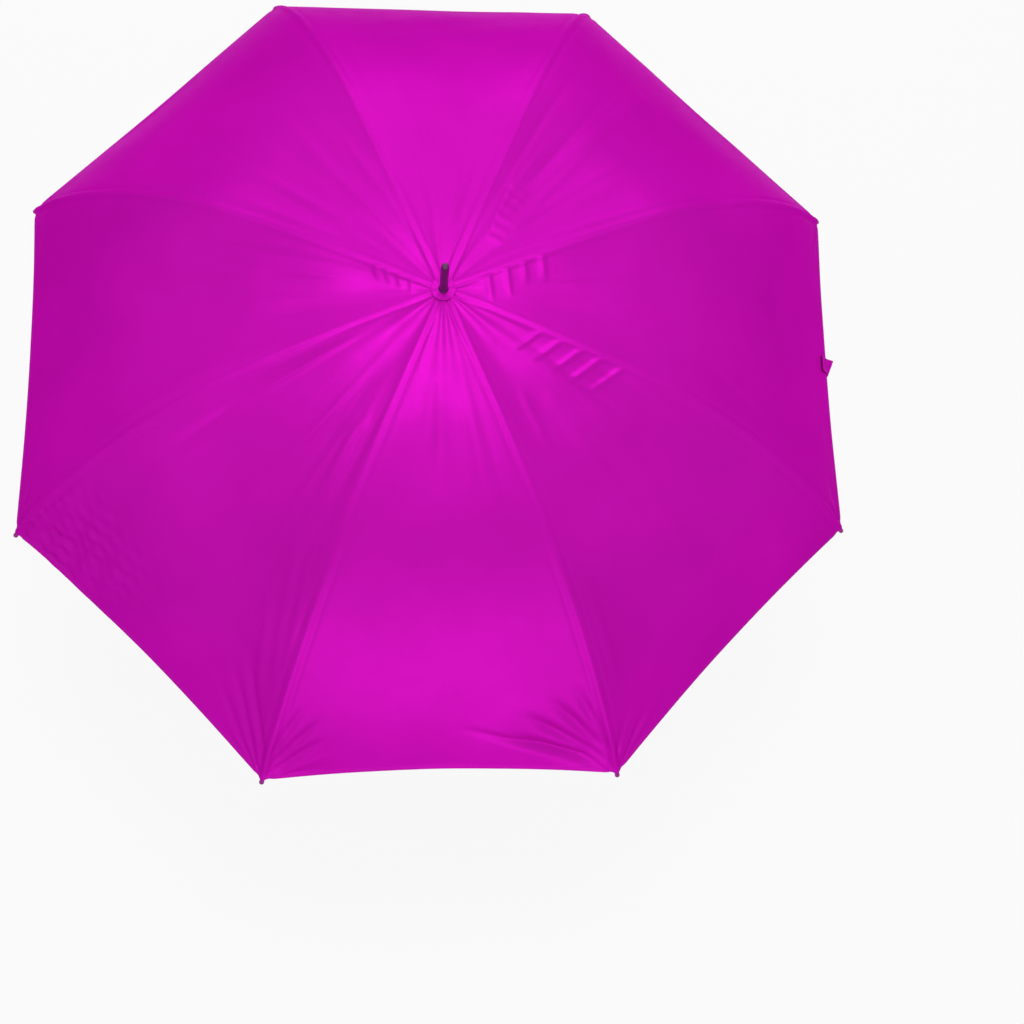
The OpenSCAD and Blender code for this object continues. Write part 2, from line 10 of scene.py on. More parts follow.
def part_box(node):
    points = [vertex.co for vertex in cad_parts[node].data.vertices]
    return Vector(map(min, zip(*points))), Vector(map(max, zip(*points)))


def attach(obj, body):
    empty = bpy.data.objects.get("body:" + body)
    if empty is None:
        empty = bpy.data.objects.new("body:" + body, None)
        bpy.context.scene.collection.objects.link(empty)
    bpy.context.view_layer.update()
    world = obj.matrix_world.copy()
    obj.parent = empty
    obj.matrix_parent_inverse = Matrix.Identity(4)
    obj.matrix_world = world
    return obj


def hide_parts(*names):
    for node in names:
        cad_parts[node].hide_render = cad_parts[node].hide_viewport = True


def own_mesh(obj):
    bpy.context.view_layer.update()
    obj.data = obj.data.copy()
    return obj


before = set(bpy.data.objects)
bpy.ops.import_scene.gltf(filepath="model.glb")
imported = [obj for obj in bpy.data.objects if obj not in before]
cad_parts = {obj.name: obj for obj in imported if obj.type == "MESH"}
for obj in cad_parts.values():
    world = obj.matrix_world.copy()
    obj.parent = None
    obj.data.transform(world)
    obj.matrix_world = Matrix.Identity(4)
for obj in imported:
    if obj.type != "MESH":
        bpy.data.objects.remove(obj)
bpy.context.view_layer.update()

bl_info = {
    "name": "Golf Umbrella Dressing",
    "version": (1, 0, 0),
    "blender": (4, 5, 0),
    "location": "View3D > Sidebar > Umbrella",
    "description": "Sews the cloth, grip and finishes of an open eight-rib umbrella over its frame",
    "category": "Object",
}

RIBS = 8
PITCH = math.tau / RIBS
HALF_PITCH = PITCH / 2

# Places of the finishes in a canopy piece's list.
CLOTH, LINING, THREAD = range(3)

# Length and radius of one stitch.
HEM_STITCH = (0.0030, 0.00028)
STRAP_STITCH = (0.0024, 0.00026)

# Air left between two layers of cloth.
LAYER_GAP = 0.00003


def middle_of(node, axis):
    """Middle of a frame node along one axis, in metres."""
    low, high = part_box(node)
    return (low[axis] + high[axis]) / 2


class CrownSizes(bpy.types.PropertyGroup):
    """Lines of the open frame that the cloth lies on."""

    pivot_height: bpy.props.FloatProperty(
        name="Rib pivot height", description="Height of the ring of rib pivots",
        default=middle_of("notch_wire", 2), unit="LENGTH")
    pivot_radius: bpy.props.FloatProperty(
        name="Rib pivot radius", description="Distance of the rib pivots from the shaft axis",
        default=0.011, unit="LENGTH")
    link: bpy.props.FloatProperty(
        name="Rib link", description="Length from a rib's pivot to its joint with the stretcher",
        default=0.295, unit="LENGTH")
    link_slope: bpy.props.FloatProperty(
        name="Rib slope", description="Fall of the rib link when the umbrella is open",
        default=math.radians(5.25), subtype="ANGLE")
    bar_start: bpy.props.FloatProperty(
        name="Bar start", description="Where the curved rib bar starts along the link",
        default=0.014, unit="LENGTH")
    bar_rise: bpy.props.FloatProperty(
        name="Bar rise", description="Height of the rib bar above the link",
        default=0.005, unit="LENGTH")
    bar_turn: bpy.props.FloatProperty(
        name="Bar turn", description="Angle that the rib bar bends through",
        default=math.radians(15), subtype="ANGLE")
    socket_reach: bpy.props.FloatProperty(
        name="Socket reach", description="Length from the joint to the mouth of the rod socket",
        default=0.009, unit="LENGTH")
    rod_slopes: bpy.props.FloatVectorProperty(
        name="Rod slopes", description="Fall of the rod at its socket, its knee and its tip",
        default=(math.radians(18.5), math.radians(37), math.radians(59.5)), size=3)
    tip_radius: bpy.props.FloatProperty(
        name="Tip radius", description="Distance of a rod's tip from the shaft axis",
        default=0.634, unit="LENGTH")
    rim_drop: bpy.props.FloatProperty(
        name="Rim drop", description="Height from the rod tips up to the rib pivots",
        default=0.302, unit="LENGTH")
    cloth_rise: bpy.props.FloatProperty(
        name="Cloth rise", description="Height of the cloth's outer face above the rib line",
        default=0.00345, unit="LENGTH")
    hole_radius: bpy.props.FloatProperty(
        name="Crown hole", description="Radius of the hole in the cloth round the shaft",
        default=0.013, unit="LENGTH")
    hem_back: bpy.props.FloatProperty(
        name="Hem set back", description="Length from a rod's end back to the cloth's hem",
        default=0.0081, unit="LENGTH")


class ClothSizes(bpy.types.PropertyGroup):
    """How the cloth is cut, sewn and stretched."""

    thickness: bpy.props.FloatProperty(
        name="Cloth thickness", description="Thickness of one layer of cloth",
        default=0.00045, unit="LENGTH")
    dip: bpy.props.FloatProperty(
        name="Panel dip", description="How far the middle of a panel sinks between its ribs",
        default=0.0105, unit="LENGTH")
    hem_draw: bpy.props.FloatProperty(
        name="Hem draw", description="How far the hem curves back between two tips",
        default=0.018, unit="LENGTH")
    hem_fold: bpy.props.FloatProperty(
        name="Hem fold", description="Width of the hem turned under",
        default=0.008, unit="LENGTH")
    stitch_pitch: bpy.props.FloatProperty(
        name="Stitch pitch", description="Length from one stitch to the next",
        default=0.0038, unit="LENGTH")
    strap_width: bpy.props.FloatProperty(
        name="Strap width", description="Width of the tie strap", default=0.024, unit="LENGTH")
    strap_thickness: bpy.props.FloatProperty(
        name="Strap thickness", description="Thickness of the doubled tie strap",
        default=0.0012, unit="LENGTH")
    strap_sewn: bpy.props.FloatProperty(
        name="Strap sewn length", description="Length of the strap that is sewn to the cloth",
        default=0.022, unit="LENGTH")
    strap_bend: bpy.props.FloatProperty(
        name="Strap bend", description="Radius at which the strap turns over the hem",
        default=0.022, unit="LENGTH")
    strap_spring: bpy.props.FloatProperty(
        name="Strap spring", description="How far one edge of the strap stands out from the hem",
        default=0.0105, unit="LENGTH")
    strap_hang: bpy.props.FloatProperty(
        name="Strap hang", description="Length of the strap that hangs below its bend",
        default=0.095, unit="LENGTH")


class UmbrellaColours(bpy.types.PropertyGroup):
    """Colours of the cloth, frame and handle."""

    magenta: bpy.props.FloatVectorProperty(
        name="Magenta cloth", description="Outer face of the cloth",
        default=(0.55, 0.0055, 0.43), size=3, subtype="COLOR", min=0, max=1)
    lining: bpy.props.FloatVectorProperty(
        name="Silver lining", description="Coated inner face of the cloth",
        default=(0.64, 0.65, 0.675), size=3, subtype="COLOR", min=0, max=1)
    thread: bpy.props.FloatVectorProperty(
        name="Sewing thread", description="Thread of the hem and the strap",
        default=(0.52, 0.004, 0.41), size=3, subtype="COLOR", min=0, max=1)
    black: bpy.props.FloatVectorProperty(
        name="Black finish", description="Paint and plastic of the frame",
        default=(0.016, 0.016, 0.018), size=3, subtype="COLOR", min=0, max=1)
    foam: bpy.props.FloatVectorProperty(
        name="Black foam", description="Foam of the grip",
        default=(0.013, 0.013, 0.0135), size=3, subtype="COLOR", min=0, max=1)
    ferrule: bpy.props.FloatVectorProperty(
        name="Ferrule", description="Plastic of the point on top",
        default=(0.095, 0.008, 0.088), size=3, subtype="COLOR", min=0, max=1)
    wire: bpy.props.FloatVectorProperty(
        name="Bare steel", description="Wire rings and spring catch",
        default=(0.42, 0.43, 0.45), size=3, subtype="COLOR", min=0, max=1)


# Cloth: the line over a rib, the panels between two ribs, and their wrinkles.

def arc(start, slope_in, slope_out, radius, rise, count):
    """Points of an arc in a rib's plane, raised square to it."""
    slope = np.linspace(slope_in, slope_out, count)
    return np.column_stack([
        start[0] + radius * (np.sin(slope) - math.sin(slope_in)) + rise * np.sin(slope),
        start[1] + radius * (np.cos(slope) - math.cos(slope_in)) + rise * np.cos(slope)])


def softened(line, reach):
    """A line of points a millimetre apart with its bends eased, its two ends kept."""
    steps = int(3 * reach / 0.001)
    weight = np.exp(-0.5 * (np.arange(-steps, steps + 1) * 0.001 / reach) ** 2)
    weight /= weight.sum()
    padded = np.pad(line, ((steps, steps), (0, 0)), mode="reflect", reflect_type="odd")
    return np.column_stack([np.convolve(padded[:, i], weight, "valid") for i in range(2)])


def lengths_along(line):
    """Length from a line's first point to each of its points."""
    return np.concatenate([[0], np.cumsum(np.linalg.norm(np.diff(line, axis=0), axis=1))])


def point_at(place, run, line):
    """The point of a line in space at one length from its start."""
    return np.array([np.interp(place, run, line[:, i]) for i in range(3)])


def unit(way):
    """A direction brought to length 1."""
    return way / np.linalg.norm(way)


class Canopy:
    """The cloth's measured lines: over a rib, along a panel's middle, and where its joint ring lies."""

    def __init__(self, crown, cloth):
        self.cloth = cloth
        slope = crown.link_slope
        along = np.array([math.cos(slope), -math.sin(slope)])
        above = np.array([math.sin(slope), math.cos(slope)])
        pivot = np.array([crown.pivot_radius, crown.pivot_height])
        bar_from = pivot + crown.bar_start * along + crown.bar_rise * above
        socket = pivot + (crown.link + crown.socket_reach) * along + crown.bar_rise * above
        bar_in, bar_out = slope - crown.bar_turn / 2, slope + crown.bar_turn / 2
        bar_radius = np.linalg.norm(socket - bar_from) / (2 * math.sin(crown.bar_turn / 2))
        hole = math.asin(math.sin(bar_in) - (bar_from[0] - crown.hole_radius) / bar_radius)
        inner = arc(bar_from, bar_in, hole, bar_radius, crown.cloth_rise, 40)[::-1]
        bar = arc(bar_from, bar_in, bar_out, bar_radius, crown.cloth_rise, 400)

        tip = np.array([crown.tip_radius, crown.pivot_height - crown.rim_drop])
        reach = tip - socket
        first, knee, last = crown.rod_slopes
        chord_a, chord_b = (first + knee) / 2, (knee + last) / 2
        spread = math.sin(chord_b - chord_a)
        length_a = (reach[0] * math.sin(chord_b) + reach[1] * math.cos(chord_b)) / spread
        length_b = -(reach[0] * math.sin(chord_a) + reach[1] * math.cos(chord_a)) / spread
        radius_a = length_a / (2 * math.sin((knee - first) / 2))
        radius_b = length_b / (2 * math.sin((last - knee) / 2))
        knee_at = arc(socket, first, knee, radius_a, 0, 2)[-1]
        rod_a = arc(socket, first, knee, radius_a, crown.cloth_rise, 400)
        rod_b = arc(knee_at, knee, last - crown.hem_back / radius_b, radius_b, crown.cloth_rise, 400)

        upper = np.vstack([inner[:-1], bar])
        line = np.vstack([upper, rod_a, rod_b[1:]])
        run = lengths_along(line)
        self.ring = run[len(upper)]
        self.length = run[-1]
        self.steps = np.arange(0, self.length, 0.001)
        self.steps = np.append(self.steps[:-1], self.length)
        even = np.column_stack([np.interp(self.steps, run, line[:, i]) for i in range(2)])
        self.over_rib = softened(even, 0.006)
        self.mid_panel = softened(even, 0.045)
        self.slope = np.arctan2(-np.gradient(self.mid_panel[:, 1]), np.gradient(self.mid_panel[:, 0]))

    def along(self, values, run):
        """A value of the line at the given lengths from the crown hole."""
        return np.interp(run, self.steps, values)

    def half_width(self, run):
        """Half the straight distance between two ribs."""
        return self.along(self.over_rib[:, 0], run) * math.sin(HALF_PITCH)

    def panel(self, run, across, slackness=1.0):
        """Points of the smooth panel whose first rib lies on the X axis."""
        bow = 4 * across * (1 - across)
        radius, height = (
            (1 - bow) * self.along(self.over_rib[:, i], run) + bow * self.along(self.mid_panel[:, i], run)
            for i in range(2))
        slope = self.along(self.slope, run)
        part = run / self.length
        skirt = np.clip((run - self.ring) / (self.length - self.ring), 0, 1)
        dip = slackness * self.cloth.dip * np.sin(math.pi * part ** 1.05) * bow ** 1.35
        draw = self.cloth.hem_draw * skirt ** 2 * bow
        out = -dip * np.sin(slope) - draw * np.cos(slope)
        up = -dip * np.cos(slope) + draw * np.sin(slope)
        return np.stack([
            radius * (1 - across + across * math.cos(PITCH)) + out * math.cos(HALF_PITCH),
            radius * across * math.sin(PITCH) + out * math.sin(HALF_PITCH),
            height + up], axis=-1)


def bump(distance, width):
    """A soft ridge of height 1."""
    return np.exp(-0.5 * (distance / width) ** 2)


def ease(value, low, high):
    """0 below low, 1 above high, smooth between."""
    share = np.clip((value - low) / (high - low), 0, 1)
    return share * share * (3 - 2 * share)


def pleat(distance, width):
    """A skewed ridge of height 1, with its wide face towards the crown."""
    side = np.where(distance < 0, width, 0.65 * width)
    return np.exp(-0.5 * (distance / side) ** 2)


def crown_gathers(run, across, width, rng):
    """Soft folds that spread from the crown, where the panels are drawn in under the rosette."""
    total = np.zeros_like(run)
    for _ in range(5):
        folds = rng.uniform(1.0, 3.6)
        shift = rng.uniform(0, math.tau)
        reach = rng.uniform(0.06, 0.17)
        height = rng.uniform(0.0002, 0.0004)
        total += height * np.cos(math.tau * folds * across + shift) * np.exp(-run / reach)
    return total * np.clip(width / 0.06, 0, 1) * np.sin(math.pi * across) ** 0.6


def rays(run, across, width, count, low, high, strength, rng):
    """Fine straight creases that run from the crown between two shares of a panel's width."""
    total = np.zeros_like(run)
    for _ in range(count):
        share = rng.uniform(low, high)
        lean = rng.uniform(-0.05, 0.05)
        start = rng.uniform(0.02, 0.20)
        end = start + rng.uniform(0.14, 0.46)
        thick = rng.uniform(0.0024, 0.0055)
        height = strength * rng.choice([-1, 1]) * rng.uniform(0.5, 1.2)
        shown = ease(run, start, start + 0.06) * (1 - ease(run, end - 0.10, end))
        total += height * bump((across - share - lean * run) * width, thick) * shown
    return total * np.clip(width / 0.16, 0, 1) ** 2


def slack(run, across, width, rng):
    """Broad, faint waves of cloth that isn't drum tight."""
    total = np.zeros_like(run)
    for _ in range(7):
        size = rng.uniform(0.11, 0.27)
        turn = rng.uniform(0, math.pi)
        shift = rng.uniform(0, math.tau)
        total += np.cos(math.tau / size * (math.cos(turn) * run + math.sin(turn) * across * width) + shift)
    return 0.00030 * total * np.sin(math.pi * across)


def ladder(run, beside, start, end, pitch, reach, height, slant, rng):
    """A ladder of short puckers where a seam is drawn tight beside its rib."""
    total = np.zeros_like(run)
    place = start
    while place < end:
        size = rng.uniform(0.8, 1.15)
        width = rng.uniform(0.0036, 0.0046)
        total += size * pleat(run - place - slant * beside, width) * (
            1 - ease(beside, 0.55 * reach * size, 1.05 * reach * size))
        place += pitch * rng.uniform(0.9, 1.1)
    return height * total * ease(beside, 0.0005, 0.006)


def tip_fan(run, beside, end, count, reach, depth, rng):
    """Creases that fan out from a tip, where the hem is pulled tight."""
    back = end - run + 0.004
    far = np.hypot(back, beside)
    turn = np.arctan2(beside, back)
    total = np.zeros_like(run)
    for i in range(count):
        at = (i + 0.6 + rng.uniform(-0.25, 0.25)) / count * 1.45
        length = reach * rng.uniform(0.6, 1.2)
        total += rng.uniform(0.6, 1.1) * bump(turn - at, 0.085) * (1 - ease(far, 0.25 * length, length))
    return -depth * total * far / (far + 0.02)


def pull_line(run, along, start, end, width, height):
    """One straight fold between two points of a panel, each given as (run, distance from the near rib)."""
    start, end = np.array(start), np.array(end)
    way = end - start
    length = np.linalg.norm(way)
    way /= length
    dr, da = run - start[0], along - start[1]
    on = dr * way[0] + da * way[1]
    off = -dr * way[1] + da * way[0]
    shown = ease(on, -0.1 * length, 0.25 * length) * (1 - ease(on, 0.6 * length, 1.1 * length))
    return height * bump(off, width) * shown


def crumple(run, along, centre, reach, height, rng):
    """A patch of small dents where the cloth was folded."""
    total = np.zeros_like(run)
    for _ in range(11):
        size = rng.uniform(0.018, 0.065)
        turn = rng.uniform(0, math.pi)
        shift = rng.uniform(0, math.tau)
        total += np.cos(math.tau / size * (math.cos(turn) * run + math.sin(turn) * along) + shift)
    return height * total / 3 * np.exp(-(((run - centre[0]) ** 2 + (along - centre[1]) ** 2) / reach ** 2))


# Straight creases of each panel as photographed: run and distance from a rib at both ends, half width and
# height. The first list is measured from the panel's first rib, the second from its last.
CREASES = {
    1: (((0.076, 0.037, 0.389, 0.115, 0.0042, 0.0009), (0.108, 0.042, 0.362, 0.160, 0.0042, 0.0009),
         (0.073, 0.017, 0.397, 0.020, 0.0042, 0.0009)), ()),
    2: (((0.078, 0.017, 0.257, 0.033, 0.0042, 0.0007),), ((0.086, 0.023, 0.242, 0.047, 0.0042, 0.0007),)),
    3: (((0.056, 0.032, 0.323, 0.178, 0.0042, 0.0009), (0.054, 0.015, 0.296, 0.100, 0.0042, 0.0009),
         (0.056, 0.006, 0.296, 0.041, 0.0042, 0.0008)), ((0.061, 0.011, 0.301, 0.026, 0.0042, 0.0008),)),
    4: ((), ((0.316, 0.017, 0.492, 0.027, 0.0050, 0.0014), (0.186, 0.006, 0.402, 0.039, 0.0046, 0.0011),
             (0.149, 0.052, 0.350, 0.130, 0.0046, 0.0010), (0.098, 0.050, 0.262, 0.152, 0.0044, 0.0008))),
    5: (((0.179, 0.089, 0.477, 0.181, 0.0058, 0.0016), (0.311, 0.061, 0.482, 0.063, 0.0060, 0.0015),
         (0.294, 0.027, 0.431, 0.038, 0.0058, 0.0014)),
        ((0.193, 0.038, 0.318, 0.042, 0.0048, 0.0013), (0.176, 0.025, 0.284, 0.032, 0.0044, 0.0011),
         (0.375, 0.051, 0.566, 0.024, 0.0060, 0.0022), (0.365, 0.031, 0.541, 0.008, 0.0052, 0.0018),
         (0.465, 0.067, 0.602, 0.039, 0.0060, 0.0020), (0.688, 0.008, 0.551, 0.073, 0.0060, -0.0030),
         (0.708, 0.016, 0.588, 0.094, 0.0060, -0.0030), (0.725, 0.024, 0.641, 0.107, 0.0060, -0.0026))),
    6: (((0.722, 0.012, 0.649, 0.067, 0.0054, -0.0046), (0.708, 0.008, 0.610, 0.054, 0.0054, -0.0042),
         (0.690, 0.004, 0.578, 0.028, 0.0050, -0.0032)),
        ((0.720, 0.020, 0.641, 0.193, 0.0056, -0.0044), (0.713, 0.020, 0.656, 0.139, 0.0090, -0.0076),
         (0.705, 0.016, 0.610, 0.107, 0.0082, -0.0076), (0.690, 0.012, 0.578, 0.065, 0.0074, -0.0064),
         (0.681, 0.008, 0.548, 0.030, 0.0058, -0.0044))),
    7: (((0.157, 0.041, 0.247, 0.048, 0.0044, 0.0010), (0.186, 0.068, 0.296, 0.112, 0.0046, 0.0011),
         (0.228, 0.080, 0.451, 0.153, 0.0052, 0.0014), (0.708, 0.004, 0.634, 0.040, 0.0054, -0.0026),
         (0.725, 0.016, 0.678, 0.065, 0.0054, -0.0026), (0.397, 0.008, 0.607, 0.014, 0.0046, 0.0014),
         (0.414, 0.026, 0.597, 0.035, 0.0060, 0.0018)), ()),
    8: (((0.137, 0.047, 0.451, 0.150, 0.0046, 0.0010), (0.382, 0.074, 0.507, 0.050, 0.0048, 0.0012)), ()),
}

# Puckers of a panel: the rib they lie beside (0 its first, 1 its last), how far they are set in from it,
# where they start and end along it, and their pitch, length, height and slant.
PUCKERS = {
    1: (1, 0.024, 0.088, 0.175, 0.0160, 0.034, 0.0006, 0.3),
    4: (0, 0.0, 0.031, 0.085, 0.0153, 0.021, 0.0009, -0.1),
    7: (1, 0.004, 0.121, 0.243, 0.0275, 0.046, 0.0015, -0.17),
    8: (1, 0.0, 0.0475, 0.130, 0.0235, 0.044, 0.0013, 0.14),
}

# Fine creases of a panel: how many, between which shares of its width, and how high.
FINE_CREASES = {
    1: ((7, 0.2, 0.8, 0.0006),),
    2: ((8, 0.05, 0.95, 0.0005),),
    3: ((8, 0.05, 0.95, 0.0005),),
    4: ((8, 0.05, 0.4, 0.0005),),
    5: ((16, 0.5, 0.97, 0.0009), (8, 0.05, 0.5, 0.0006)),
    6: ((6, 0.05, 0.95, 0.0004),),
    7: ((8, 0.5, 0.95, 0.0005),),
    8: (),
}

# The panel that is crumpled near its first tip.
CRUMPLED = 5

# The two ribs nearest the camera, the panel between them, and how far creases fan out from their tips.
FRONT_RIBS = (6, 7)
FRONT_PANEL = 6
FAN_LENGTH = 0.15


def panel_marks(gore, run, across, width, end, rng):
    """The folds that only one panel has."""
    sides = across * width, (1 - across) * width
    total = np.zeros_like(run)
    for beside, lines in zip(sides, CREASES[gore]):
        for start, from_rib, stop, to_rib, thick, height in lines:
            total += pull_line(run, beside, (start, from_rib), (stop, to_rib), thick, height)
    if gore in PUCKERS:
        rib, set_in, *measures = PUCKERS[gore]
        total += ladder(run, sides[rib] - set_in, *measures, rng)
    for creases in FINE_CREASES[gore]:
        total += rays(run, across, width, *creases, rng)
    if gore == CRUMPLED:
        total += crumple(run, sides[0], (end - 0.08, 0.07), 0.10, 0.0017, rng)
        total -= 0.0080 * bump(np.hypot(run - end + 0.06, sides[0] - 0.060), 0.040)
    return total


def wrinkles(canopy, gore, run, across):
    """How far the cloth of one panel stands proud of its smooth form."""
    width = 2 * canopy.half_width(run)
    near, far = across * width, (1 - across) * width
    end = canopy.length
    rng = np.random.default_rng(40 + gore)
    total = crown_gathers(run, across, width, rng)
    total += rays(run, across, width, 8, 0.03, 0.97, 0.0004, rng)
    total += slack(run, across, width, rng)
    total += panel_marks(gore, run, across, width, end, rng)
    for beside, rib in ((near, gore), (far, gore % RIBS + 1)):
        front = rib in FRONT_RIBS
        depth = 0.0040 if front and gore != FRONT_PANEL else 0.0025
        total += tip_fan(run, beside, end, 4, FAN_LENGTH if front else 0.10, depth, rng)
    nearest = np.minimum(near, far)
    at_hem = ease(end - run, 0.0, 0.012)
    at_seam = ease(nearest, 0.0005, 0.006)
    hem = canopy.cloth.hem_fold
    roll = 0.0005 * ease(run, end - hem - 0.0015, end - hem + 0.001)
    groove = -0.00045 * bump(run - (end - 0.75 * hem), 0.0008)
    welt = 0.0006 * bump(nearest - 0.0040, 0.0018)
    welt -= 0.0014 * bump(nearest - 0.0090, 0.0032) * ease(run, 0.26, 0.46)
    return total * (0.35 + 0.65 * at_hem) * at_seam + roll + groove + welt


# How slack each panel hangs between its ribs, as a share of the usual dip.
SLACKNESS = (0.8, 0.45, 0.8, 1.0, 1.25, 0.4, 1.2, 1.0)

# Panels with deep creases at their tips.
FANNED = (5, 6, 7)

# Columns beside a rib and rows at the hem, as distances, and the row that is stitched.
SEAM_COLUMNS = (0.0, 0.0011, 0.0024, 0.0042, 0.0068, 0.0105)
HEM_ROWS = (0.0215, 0.0175, 0.014, 0.0115, 0.0098, 0.0088, 0.0078, 0.0070, 0.0064, 0.0060, 0.0056, 0.0050,
            0.0042, 0.0028, 0.0013, 0.0)
STITCHED_ROW = HEM_ROWS.index(0.0060) - len(HEM_ROWS)

# Length of the gathered edge round the crown hole.
CROWN_EDGE = 0.03


def panel_rows(canopy, gore):
    """Lengths from the crown hole at which a panel is measured, close together at its folds and hem."""
    hem = canopy.length
    upper = 0.0018 if gore in PUCKERS else 0.0036
    lower = 0.0036 if gore in FANNED else 0.0072
    return np.unique(np.round(np.concatenate([
        np.linspace(0, CROWN_EDGE, 9),
        np.arange(CROWN_EDGE, canopy.ring - 0.001, upper),
        [canopy.ring],
        np.arange(canopy.ring + 0.006, hem - FAN_LENGTH, 0.0060),
        np.arange(hem - FAN_LENGTH, hem - 0.024, lower),
        hem - np.array(HEM_ROWS)]), 7))


def panel_columns(canopy, gore, run):
    """Share of a panel's width at each column from one rib to its middle, for each row."""
    close = gore in PUCKERS or gore in FANNED
    count = 38 if close else 24
    half = canopy.half_width(run)[:, None]
    seam = np.array(SEAM_COLUMNS)[None, :] * np.clip(half / 0.045, 0, 1)
    spread = (np.arange(1, count + 1) / count) ** (1.35 if close else 1.25)
    rest = seam[:, -1:] + (half - seam[:, -1:]) * spread[None, :]
    return np.hstack([seam, rest]) / (2 * half)


def turned(points, angle):
    """Points or directions turned about the shaft."""
    c, s = math.cos(angle), math.sin(angle)
    return points @ np.array([[c, s, 0], [-s, c, 0], [0, 0, 1]])


def across_grid(grid):
    """Unit normals of a grid of points, pointing out of the canopy."""
    normal = np.cross(np.gradient(grid, axis=0), np.gradient(grid, axis=1))
    return normal / np.linalg.norm(normal, axis=-1, keepdims=True)


class Sewing:
    """Gathers the points and faces of one mesh."""

    def __init__(self):
        self.points, self.normals, self.weave, self.faces, self.finish, self.smooth = [], [], [], [], [], []

    def shell(self, outer, inner, normal, weave, outer_finish, inner_finish, rim_finish=0):
        """A closed shell of cloth between two grids of points."""
        rows, columns = outer.shape[:2]
        base = len(self.points)
        self.points += [*outer.reshape(-1, 3), *inner.reshape(-1, 3)]
        self.normals += [*normal.reshape(-1, 3), *(-normal.reshape(-1, 3))]
        self.weave += [*weave.reshape(-1, 2)] * 2
        under = rows * columns

        def at(row, column):
            return base + row * columns + column

        for i in range(rows - 1):
            for j in range(columns - 1):
                face = (at(i, j), at(i + 1, j), at(i + 1, j + 1), at(i, j + 1))
                self.add(face, outer_finish, True)
                self.add(tuple(under + face[k] for k in (0, 3, 2, 1)), inner_finish, True)
        rim = ([at(0, j) for j in range(columns)] + [at(i, columns - 1) for i in range(1, rows)]
               + [at(rows - 1, j) for j in range(columns - 2, -1, -1)]
               + [at(i, 0) for i in range(rows - 2, 0, -1)])
        for a, b in zip(rim, rim[1:] + rim[:1]):
            self.add((a, b, under + b, under + a), rim_finish, False)

    def add(self, face, finish, smooth):
        """One face with its finish."""
        self.faces.append(face)
        self.finish.append(finish)
        self.smooth.append(smooth)

    def stitch(self, middle, along, up, length, radius, finish):
        """One stitch: a short spindle of thread half sunk in the cloth."""
        side = np.cross(along, up)
        base = len(self.points)
        ring = [up * radius, side * radius, -up * radius, -side * radius]
        points = [middle - along * length / 2]
        points += [middle - along * length * 0.22 + r for r in ring]
        points += [middle + along * length * 0.22 + r for r in ring]
        points += [middle + along * length / 2]
        self.points += points
        self.normals += [up] + ring * 2 + [up]
        self.weave += [np.zeros(2)] * len(points)
        for k in range(4):
            n = (k + 1) % 4
            self.add((base, base + 1 + n, base + 1 + k), finish, True)
            self.add((base + 1 + k, base + 1 + n, base + 5 + n, base + 5 + k), finish, True)
            self.add((base + 5 + k, base + 5 + n, base + 9), finish, True)

    def made(self, name, finishes):
        """The finished mesh as an object in the scene."""
        mesh = bpy.data.meshes.new(name)
        mesh.from_pydata([tuple(p) for p in self.points], [], self.faces)
        for material in finishes:
            mesh.materials.append(material)
        mesh.polygons.foreach_set("material_index", self.finish)
        mesh.polygons.foreach_set("use_smooth", self.smooth)
        corners = np.empty(len(mesh.loops), int)
        mesh.loops.foreach_get("vertex_index", corners)
        weave = mesh.uv_layers.new(name="weave")
        weave.data.foreach_set("uv", np.array(self.weave, float)[corners].ravel())
        mesh.update()
        normals = np.array(self.normals, float)[corners]
        normals /= np.linalg.norm(normals, axis=1, keepdims=True)
        flat = np.repeat(np.logical_not(self.smooth), [len(f) for f in self.faces])
        normals[flat] = 0
        mesh.normals_split_custom_set([tuple(n) for n in normals])
        piece = bpy.data.objects.new(name, mesh)
        bpy.context.scene.collection.objects.link(piece)
        return piece


def grid_area(points):
    """Area of a grid of points."""
    first, last = points[:-1, :-1], points[1:, 1:]
    along, across = points[1:, :-1], points[:-1, 1:]
    lower = np.linalg.norm(np.cross(along - first, across - first), axis=-1)
    upper = np.linalg.norm(np.cross(along - last, across - last), axis=-1)
    return (lower + upper).sum() / 2


def rib_turn(rib):
    """Angle of a rib about the shaft."""
    return HALF_PITCH + (rib - 1) * PITCH


def gather(piece):
    """Gives a piece its own copy of its mesh, shared with no other piece."""
    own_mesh(piece)


def hem_stitches(sewing, points, normal, thickness, row, pitch):
    """A row of stitches on both faces along one row of a half panel."""
    line, up, deep = points[row], normal[row], thickness[row]
    run = lengths_along(line)
    proud = 0.00008
    for at in np.arange(pitch / 2, run[-1], pitch):
        here, there = (point_at(at + step, run, line) for step in (-0.0005, 0.0005))
        along = unit(there - here)
        out = point_at(at, run, up)
        depth = np.interp(at, run, deep)
        middle = (here + there) / 2
        sewing.stitch(middle + out * proud, along, out, *HEM_STITCH, THREAD)
        sewing.stitch(middle - out * (depth + proud), along, -out, *HEM_STITCH, THREAD)


def outer_face(canopy, gore, run, across):
    """Points, normals and weave places on the outer face of one panel."""
    rows = np.broadcast_to(run[:, None], across.shape)
    smooth = canopy.panel(rows, across, SLACKNESS[gore - 1])
    raised = smooth + across_grid(smooth) * wrinkles(canopy, gore, rows, across)[..., None]
    turn = rib_turn(gore)
    weave = np.stack([across * 2 * canopy.half_width(rows), rows], axis=-1)
    return turned(raised, turn), turned(across_grid(raised), turn), weave


